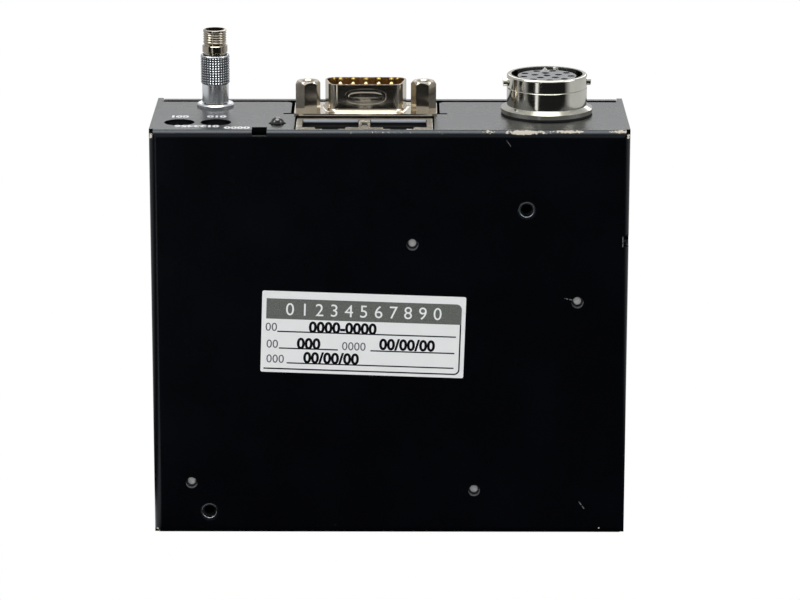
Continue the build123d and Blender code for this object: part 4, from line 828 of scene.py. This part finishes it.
# %% Threads in the jackscrews
jackscrew_top = corners_of("jackscrews")[1].z
half_spacing = 12.495
work = bmesh.new()
for side in (-1, 1):
    mouth = Vector((nine_pin.x + side * half_spacing * MM, nine_pin.y, jackscrew_top - 0.35 * MM))
    inner_thread(work, mouth, Vector((0, 0, -1)), radius=1.2, pitch=0.6, length=3.6, depth=0.14)
thread_piece = finish_mesh("jackscrew_threads", work, shell_nickel, sharp=60)
print("jackscrew threads:", len(thread_piece.data.polygons), "faces")

# %% [markdown]
# ### Pressed and lit details of the connectors
# The front of the nine-pin shell carries a shallow pressed dimple with soft shoulders, here a few oval
# rings that sink towards the middle. Powers of the cosine and the sine below one make the oval boxier
# than an ellipse, as a press tool leaves it.

# %% The dimple in the nine-pin shell
dimple_middle = Vector((nine_pin.x, nine_pin.y - 4.4 * MM, top_z + 3.83 * MM))
half_width, half_height = 4.5, 1.75
shoulder = 2.2
# Share of the full oval, and how far the ring stands out of the shell
dimple_rings = [
    (1.0, 0.03), (0.96, 0.02), (0.9, -0.03), (0.84, -0.08),
    (0.78, -0.11), (0.7, -0.11), (0.62, -0.06), (0.5, -0.02),
]
work = bmesh.new()
rings = []
for share, out in dimple_rings:
    ring = []
    for angle in evenly(48):
        shrink = (1 - share) * shoulder
        across = (half_width - shrink) * math.copysign(abs(math.cos(angle)) ** 0.7, math.cos(angle))
        up = (half_height - shrink) * math.copysign(abs(math.sin(angle)) ** 0.8, math.sin(angle))
        ring.append(work.verts.new(dimple_middle + Vector((across, -out, up)) * MM))
    rings.append(ring)
join_rings(work, rings)
work.faces.new(rings[-1])
dimple = finish_mesh("shell_dimple", work, shell_nickel, sharp=80)
print("dimple:", len(dimple.data.polygons), "faces")

# %% [markdown]
# In the mouths of the network jacks a ledge runs across each port, coloured pale as a painted highlight of
# its lit edge. It is a plain block, and so are the next two details, so one helper makes them all.

# %% Ledges in the network jacks
def block(work, low, high):
    """A box between two corners in millimetres."""
    corners = [
        (low[0] if a else high[0], low[1] if b else high[1], low[2] if c else high[2])
        for a in (1, 0) for b in (1, 0) for c in (1, 0)
    ]
    v = [work.verts.new(Vector(c) * MM) for c in corners]
    for face in ((0, 1, 3, 2), (4, 6, 7, 5), (0, 4, 5, 1), (2, 3, 7, 6), (0, 2, 6, 4), (1, 5, 7, 3)):
        work.faces.new([v[i] for i in face])


jack_low, jack_high = corners_of("network_jack_shield")
jack_middle = (jack_low.x + jack_high.x) / 2 / MM
jack_face = jack_high.z / MM
front_mm = front_y / MM
port_offset, ledge_half = 7.25, 5.9
work = bmesh.new()
for side in (-1, 1):
    port_x = jack_middle + side * port_offset
    block(
        work,
        (port_x - ledge_half, front_mm + 12.3, jack_face - 0.5),
        (port_x + ledge_half, front_mm + 12.72, jack_face - 0.1),
    )
ledges = finish_mesh("port_ledges", work, painted_ledge_light)
print("ledges:", len(ledges.data.polygons), "faces")

# %% [markdown]
# The little window in the shield between the two ports has a bright rim, made of four bars.

# %% Rim of the window between the ports
work = bmesh.new()
window_half, window_front, window_back = 0.85, 6.3, 10.0
for left, near, right_side, far in (
    (-window_half, window_front, -0.55, window_back),
    (0.55, window_front, window_half, window_back),
    (-window_half, window_front, window_half, 6.65),
    (-window_half, 9.65, window_half, window_back),
):
    block(
        work,
        (jack_middle + left, front_mm + near, jack_face - 0.05),
        (jack_middle + right_side, front_mm + far, jack_face + 0.06),
    )
window_rim = finish_mesh("window_rim", work, bright_nickel)
print("window rim:", len(window_rim.data.polygons), "faces")

# %% [markdown]
# The key rib stands on the inner wall of the round receptacle, a little to the right of its far side. Its
# tip is a pale block, a painted highlight where the rib catches the light.

# %% Tip of the key rib, a painted highlight
rib_angle = math.radians(75)
rib_from_axis = 7.35
rib_x = round_port.x / MM + rib_from_axis * math.cos(rib_angle)
rib_y = round_port.y / MM + rib_from_axis * math.sin(rib_angle)
rib_top = top_z / MM + 8.5
work = bmesh.new()
block(work, (rib_x - 0.32, rib_y - 0.5, rib_top - 0.7), (rib_x + 0.32, rib_y + 0.2, rib_top + 0.05))
key_glint = finish_mesh("key_rib_painted_glint", work, painted_glint_white)
print("key rib at", round(rib_x, 2), round(rib_y, 2), "mm")

# %% [markdown]
# ## The sticker
# The sticker has a dark header band across its top, ruled lines below to write on, and a thin border
# that is open at the left. All of these are thin pieces of mesh laid a hair above the paper and turned
# with it, so one helper turns a place on the sticker into a place in the world.

# %% Helpers: places and outlines on the sticker
paper_tilt = math.radians(-1.9)
paper_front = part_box("paper_label")[0][1]
print_lift = 0.012


def on_paper(x, z, lift=print_lift):
    """A point on the sticker, x to the right and z up from its middle in its own slightly turned axes."""
    return Vector((
        sticker.x + (x * math.cos(paper_tilt) - z * math.sin(paper_tilt)) * MM,
        paper_front - lift * MM,
        sticker.z + (x * math.sin(paper_tilt) + z * math.cos(paper_tilt)) * MM,
    ))


def printed_area(work, outline):
    work.faces.new([work.verts.new(on_paper(x, z)) for x, z in outline])


corner_radius = 1.2


def rounded_corner(x, z, start, radius=corner_radius, steps=6):
    """Points of a quarter turn about x, z, its angles from start degrees on."""
    turns = [math.radians(start + 90 * k / steps) for k in range(steps + 1)]
    return [(x + radius * math.cos(t), z + radius * math.sin(t)) for t in turns]


print("sticker turned by", round(math.degrees(paper_tilt), 2), "degrees")

# %% [markdown]
# The band is a speckled grey-green, rounded at its right upper corner only.

# %% The header band
band_ink = grained("band_ink", (0.185, 0.20, 0.18), 0.4, 0.55, fine=3000.0, slow=3800.0, tint=0.6)
band_left, band_right, band_bottom, band_top = -20.85, 20.95, 2.85, 7.35
work = bmesh.new()
band_outline = [(band_left, band_bottom), (band_right, band_bottom)]
band_outline += rounded_corner(band_right - corner_radius, band_top - corner_radius, 0)
printed_area(work, band_outline + [(band_left, band_top)])
band = finish_mesh("sticker_band", work, band_ink)
print("band:", round(band_right - band_left, 1), "x", round(band_top - band_bottom, 1), "mm")

# %% [markdown]
# The rules and the border share one dark ink and one piece of mesh.

# %% Rules and border
line_ink = grained("line_ink", (0.002, 0.002, 0.006), 0.5, 0.6, fine=3000.0, Specular_IOR_Level=0.1)
work = bmesh.new()
rule_wide = 0.28
# Left end, height and right end of each rule
rules = [(-18.4, -0.05, 19.9), (-17.95, -3.75, -5.3), (1.7, -3.7, 19.7), (-16.2, -7.0, 19.65)]
for left, low, right_end in rules:
    high = low + rule_wide
    printed_area(work, [(left, low), (right_end, low), (right_end, high), (left, high)])
# The border runs along the bottom, round the corner and up the right side
border_low, border_wide, border_left = -8.35, 0.3, band_left - 0.3
turn_x, turn_z = band_right - corner_radius, border_low + corner_radius
outer_edge = [(border_left, border_low)] + rounded_corner(turn_x, turn_z, 270)
outer_edge += [(band_right, band_bottom)]
inner_edge = [(border_left, border_low + border_wide)]
inner_edge += rounded_corner(turn_x, turn_z, 270, corner_radius - border_wide)
inner_edge += [(band_right - border_wide, band_bottom)]
outer_verts = [work.verts.new(on_paper(x, z)) for x, z in outer_edge]
inner_verts = [work.verts.new(on_paper(x, z)) for x, z in inner_edge]
for k in range(len(outer_verts) - 1):
    work.faces.new((outer_verts[k], outer_verts[k + 1], inner_verts[k + 1], inner_verts[k]))
rule_piece = finish_mesh("sticker_rules", work, line_ink)
print("sticker:", len(rules), "ruled lines")

# %% [markdown]
# Text objects use Blender's own font, and are turned into plain mesh at once, so that the print is a
# piece like any other. Everything is in plain numerals, on the sticker and beside the switches.

# %% Helper: plain numerals
def numerals(name, words, size, place_matrix, material, bold=0.0, spacing=1.0):
    curve = bpy.data.curves.new(name, "FONT")
    curve.body = words
    curve.size = size * MM
    curve.align_x = "CENTER"
    curve.offset = bold * MM
    curve.space_character = spacing
    curve.resolution_u = 4
    holder = bpy.data.objects.new(name + "_text", curve)
    bpy.context.scene.collection.objects.link(holder)
    shape = bpy.data.meshes.new_from_object(holder)
    bpy.data.objects.remove(holder)
    shape.transform(place_matrix)
    piece = bpy.data.objects.new(name, shape)
    bpy.context.scene.collection.objects.link(piece)
    dress(piece, material)
    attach(piece, "box")
    return piece


print("helper ready: numerals")

# %% [markdown]
# The typed entries are bold and black, the small labels beside them are light and grey, and the
# heading is the colour of the paper, as if it were left out of the band's ink.

# %% Numerals on the sticker
faint_ink = grained("faint_ink", (0.10, 0.10, 0.13), 0.4, 0.5, fine=3000.0)


def paper_matrix(x, z, lift=print_lift):
    upright = Matrix.Rotation(math.radians(90), 4, "X")
    return Matrix.Translation(on_paper(x, z, lift)) @ Matrix.Rotation(-paper_tilt, 4, "Y") @ upright


# Name, numerals, and their place from the middle of the sticker
typed = (
    ("sticker_number", "0000-0000", -4.4, 0.1),
    ("sticker_initials", "000", -11.6, -3.6),
    ("sticker_date", "00/00/00", 9.5, -3.2),
    ("sticker_due_date", "00/00/00", -6.7, -6.7),
)
for name, words, x, z in typed:
    numerals(name, words, 3.35, paper_matrix(x, z), line_ink, bold=0.12)
printed = (
    ("sticker_number_label", "00", -19.7, 0.15),
    ("sticker_initials_label", "00", -19.4, -3.6),
    ("sticker_date_label", "0000", -1.9, -3.6),
    ("sticker_due_label", "000", -18.7, -6.9),
)
for name, words, x, z in printed:
    numerals(name, words, 2.6, paper_matrix(x, z), faint_ink)
heading_place = paper_matrix(0.0, 3.75, lift=0.02)
heading_marks = numerals("sticker_heading", "01234567890", 3.9, heading_place, paper, spacing=1.62)
print("numerals on the sticker:", len(typed) + len(printed) + 1, "pieces")

# %% [markdown]
# The marks beside the switches are white ink, worn a little thin. They are read from behind the box,
# so they stand upside down to the camera.

# %% Marks on the top
white_ink = grained("white_ink", (0.92, 0.93, 0.94), 0.45, 0.6, fine=4000.0, slow=900.0, tint=0.35)
half_turn = Matrix.Rotation(math.pi, 4, "Z")
# Name, numerals, x, and depth behind the front face
top_marks = (
    ("low_digit_mark", "001", -45.2, 15.1),
    ("high_digit_mark", "010", -37.2, 15.2),
    ("digit_range_mark", "0123456", -41.0, 5.3),
    ("zero_mark", "0000", -32.4, 3.8),
)
for name, words, x, depth in top_marks:
    on_top = Matrix.Translation((x * MM, (front_mm + depth) * MM, top_z + 0.01 * MM)) @ half_turn
    mark = numerals(name, words, 2.7, on_top, white_ink, bold=0.14)
print("marks on the top:", len(top_marks))

# %% [markdown]
# ## Studio
# The photograph is a cut-out on pure white. A pale floor and a white world give the same ground, and
# both are white only to the camera and to reflections, so the light on the object stays at a plain
# level. Glossy metal shows a darker room in front of it, where the photographer stands, with one
# upright strip of light: that is what draws the dark panel and the bright streak on the round barrel.

# %% Group: the room around the object
room_group, entry, leave = new_group(
    "room_brightness", [("Direction", VECTOR, (0, 0, 1))], [("Brightness", NUMBER)]
)
parts = add_node(room_group, "ShaderNodeSeparateXYZ")
feed(room_group, parts.inputs[0], entry["Direction"])
sideways, height = parts.outputs["X"], parts.outputs["Z"]
towards_camera = math_node(room_group, "MULTIPLY", parts.outputs["Y"], -1.0)
# The heading is 0 towards the camera, and grows to both sides, in radians
heading = math_node(room_group, "ARCTAN2", sideways, towards_camera)
dark_front = spread(room_group, math_node(room_group, "ABSOLUTE", heading), 0.72, 0.98, 0.014, 0.62)
from_strip = math_node(room_group, "ABSOLUTE", math_node(room_group, "ADD", heading, 0.36))
strip = math_node(room_group, "MULTIPLY", spread(room_group, from_strip, 0.07, 0.04), 1.2)
overhead = spread(room_group, height, 0.62, 0.85)
ceiling_lamp = spread(room_group, height, 0.88, 0.95, 0.0, 8.0)
from_skyline = math_node(room_group, "ABSOLUTE", math_node(room_group, "SUBTRACT", height, 0.36))
skyline = spread(room_group, from_skyline, 0.3, 0.2, 0.0, 0.72)
level = strongest(room_group, [dark_front, strip, overhead, ceiling_lamp, skyline])
feed(room_group, leave["Brightness"], level)
print("group:", room_group.name, "with", len(room_group.nodes), "nodes")

# %% [markdown]
# The world answers each kind of ray in its own way: the camera and transmitted rays see white, glossy
# rays see the room, and all others get an even ambient light.

# %% World
def choose_shader(tree, share, plain, chosen):
    """Mixes two shaders: the chosen one where the share is 1."""
    node = add_node(tree, "ShaderNodeMixShader")
    for socket, value in zip(node.inputs, (share, plain, chosen)):
        feed(tree, socket, value)
    return node.outputs[0]


world = bpy.data.worlds.new("studio")
bpy.context.scene.world = world
world.use_nodes = True
tree = world.node_tree
tree.nodes.clear()
direction = add_node(tree, "ShaderNodeTexCoord").outputs["Generated"]
path = add_node(tree, "ShaderNodeLightPath").outputs
camera_light = add_node(tree, "ShaderNodeBackground")
camera_light.inputs["Color"].default_value = (1, 1, 1, 1)
reflected = add_node(tree, "ShaderNodeBackground")
room = use_group(tree, room_group, Direction=direction)
feed(tree, reflected.inputs["Strength"], room["Brightness"])
ambient = add_node(tree, "ShaderNodeBackground")
ambient.inputs["Strength"].default_value = 0.78
lit = choose_shader(tree, path["Is Glossy Ray"], ambient.outputs[0], reflected.outputs[0])
seen = math_node(tree, "MAXIMUM", path["Is Camera Ray"], path["Is Transmission Ray"])
surroundings = choose_shader(tree, seen, lit, camera_light.outputs[0])
feed(tree, add_node(tree, "ShaderNodeOutputWorld").inputs["Surface"], surroundings)
print("world:", len(tree.nodes), "nodes")

# %% [markdown]
# The floor does the same, and is a pale matte surface to every other ray, so that light bounces off it.
# The room's brightness is laid out round a point a little behind the box, which keeps the pattern's
# centre out of the reflections in the front face.

# %% Floor
work = bmesh.new()
bmesh.ops.create_grid(work, x_segments=1, y_segments=1, size=3.0)
floor_mesh = bpy.data.meshes.new("floor")
work.to_mesh(floor_mesh)
work.free()
floor = bpy.data.objects.new("floor", floor_mesh)
bpy.context.scene.collection.objects.link(floor)
floor_paint = bpy.data.materials.new("floor_paint")
floor_paint.use_nodes = True
tree = floor_paint.node_tree
tree.nodes.clear()
path = add_node(tree, "ShaderNodeLightPath").outputs
place = add_node(tree, "ShaderNodeTexCoord").outputs["Object"]
spot = vector_node(tree, "SUBTRACT", place, (0.0, 0.15, 0.0))
matte = add_node(tree, "ShaderNodeBsdfDiffuse")
matte.inputs["Color"].default_value = (0.86, 0.86, 0.86, 1)
seen_glow = add_node(tree, "ShaderNodeEmission")
mirrored_glow = add_node(tree, "ShaderNodeEmission")
room = use_group(tree, room_group, Direction=spot)
feed(tree, mirrored_glow.inputs["Strength"], room["Brightness"])
seen = choose_shader(tree, path["Is Camera Ray"], matte.outputs[0], seen_glow.outputs[0])
surface = choose_shader(tree, path["Is Glossy Ray"], seen, mirrored_glow.outputs[0])
feed(tree, add_node(tree, "ShaderNodeOutputMaterial").inputs["Surface"], surface)
dress(floor, floor_paint)
print("floor:", len(tree.nodes), "nodes")

# %% [markdown]
# Two large soft lights stand left and right above the box, and a weaker one lights it from behind, so
# that the folds and the rims of the connectors catch a line of light.

# %% Lamps
def soft_light(name, place, aim_height, size, power):
    """A square light of the given size, in metres and watts, aimed at the box's axis."""
    data = bpy.data.lights.new(name, "AREA")
    data.size = size
    data.energy = power
    lamp = bpy.data.objects.new(name, data)
    bpy.context.scene.collection.objects.link(lamp)
    lamp.location = place
    aim = Vector((0, 0, aim_height)) - Vector(place)
    lamp.rotation_euler = aim.to_track_quat("-Z", "Y").to_euler()


soft_light("left_softbox", (-0.7, -0.35, 0.75), aim_height=0.05, size=0.5, power=3.2)
soft_light("right_softbox", (0.8, -0.2, 0.7), aim_height=0.05, size=0.5, power=2.4)
soft_light("rim_light", (0.1, 0.8, 0.6), aim_height=0.08, size=0.6, power=2.0)
print("lamps:", len(bpy.data.lights))
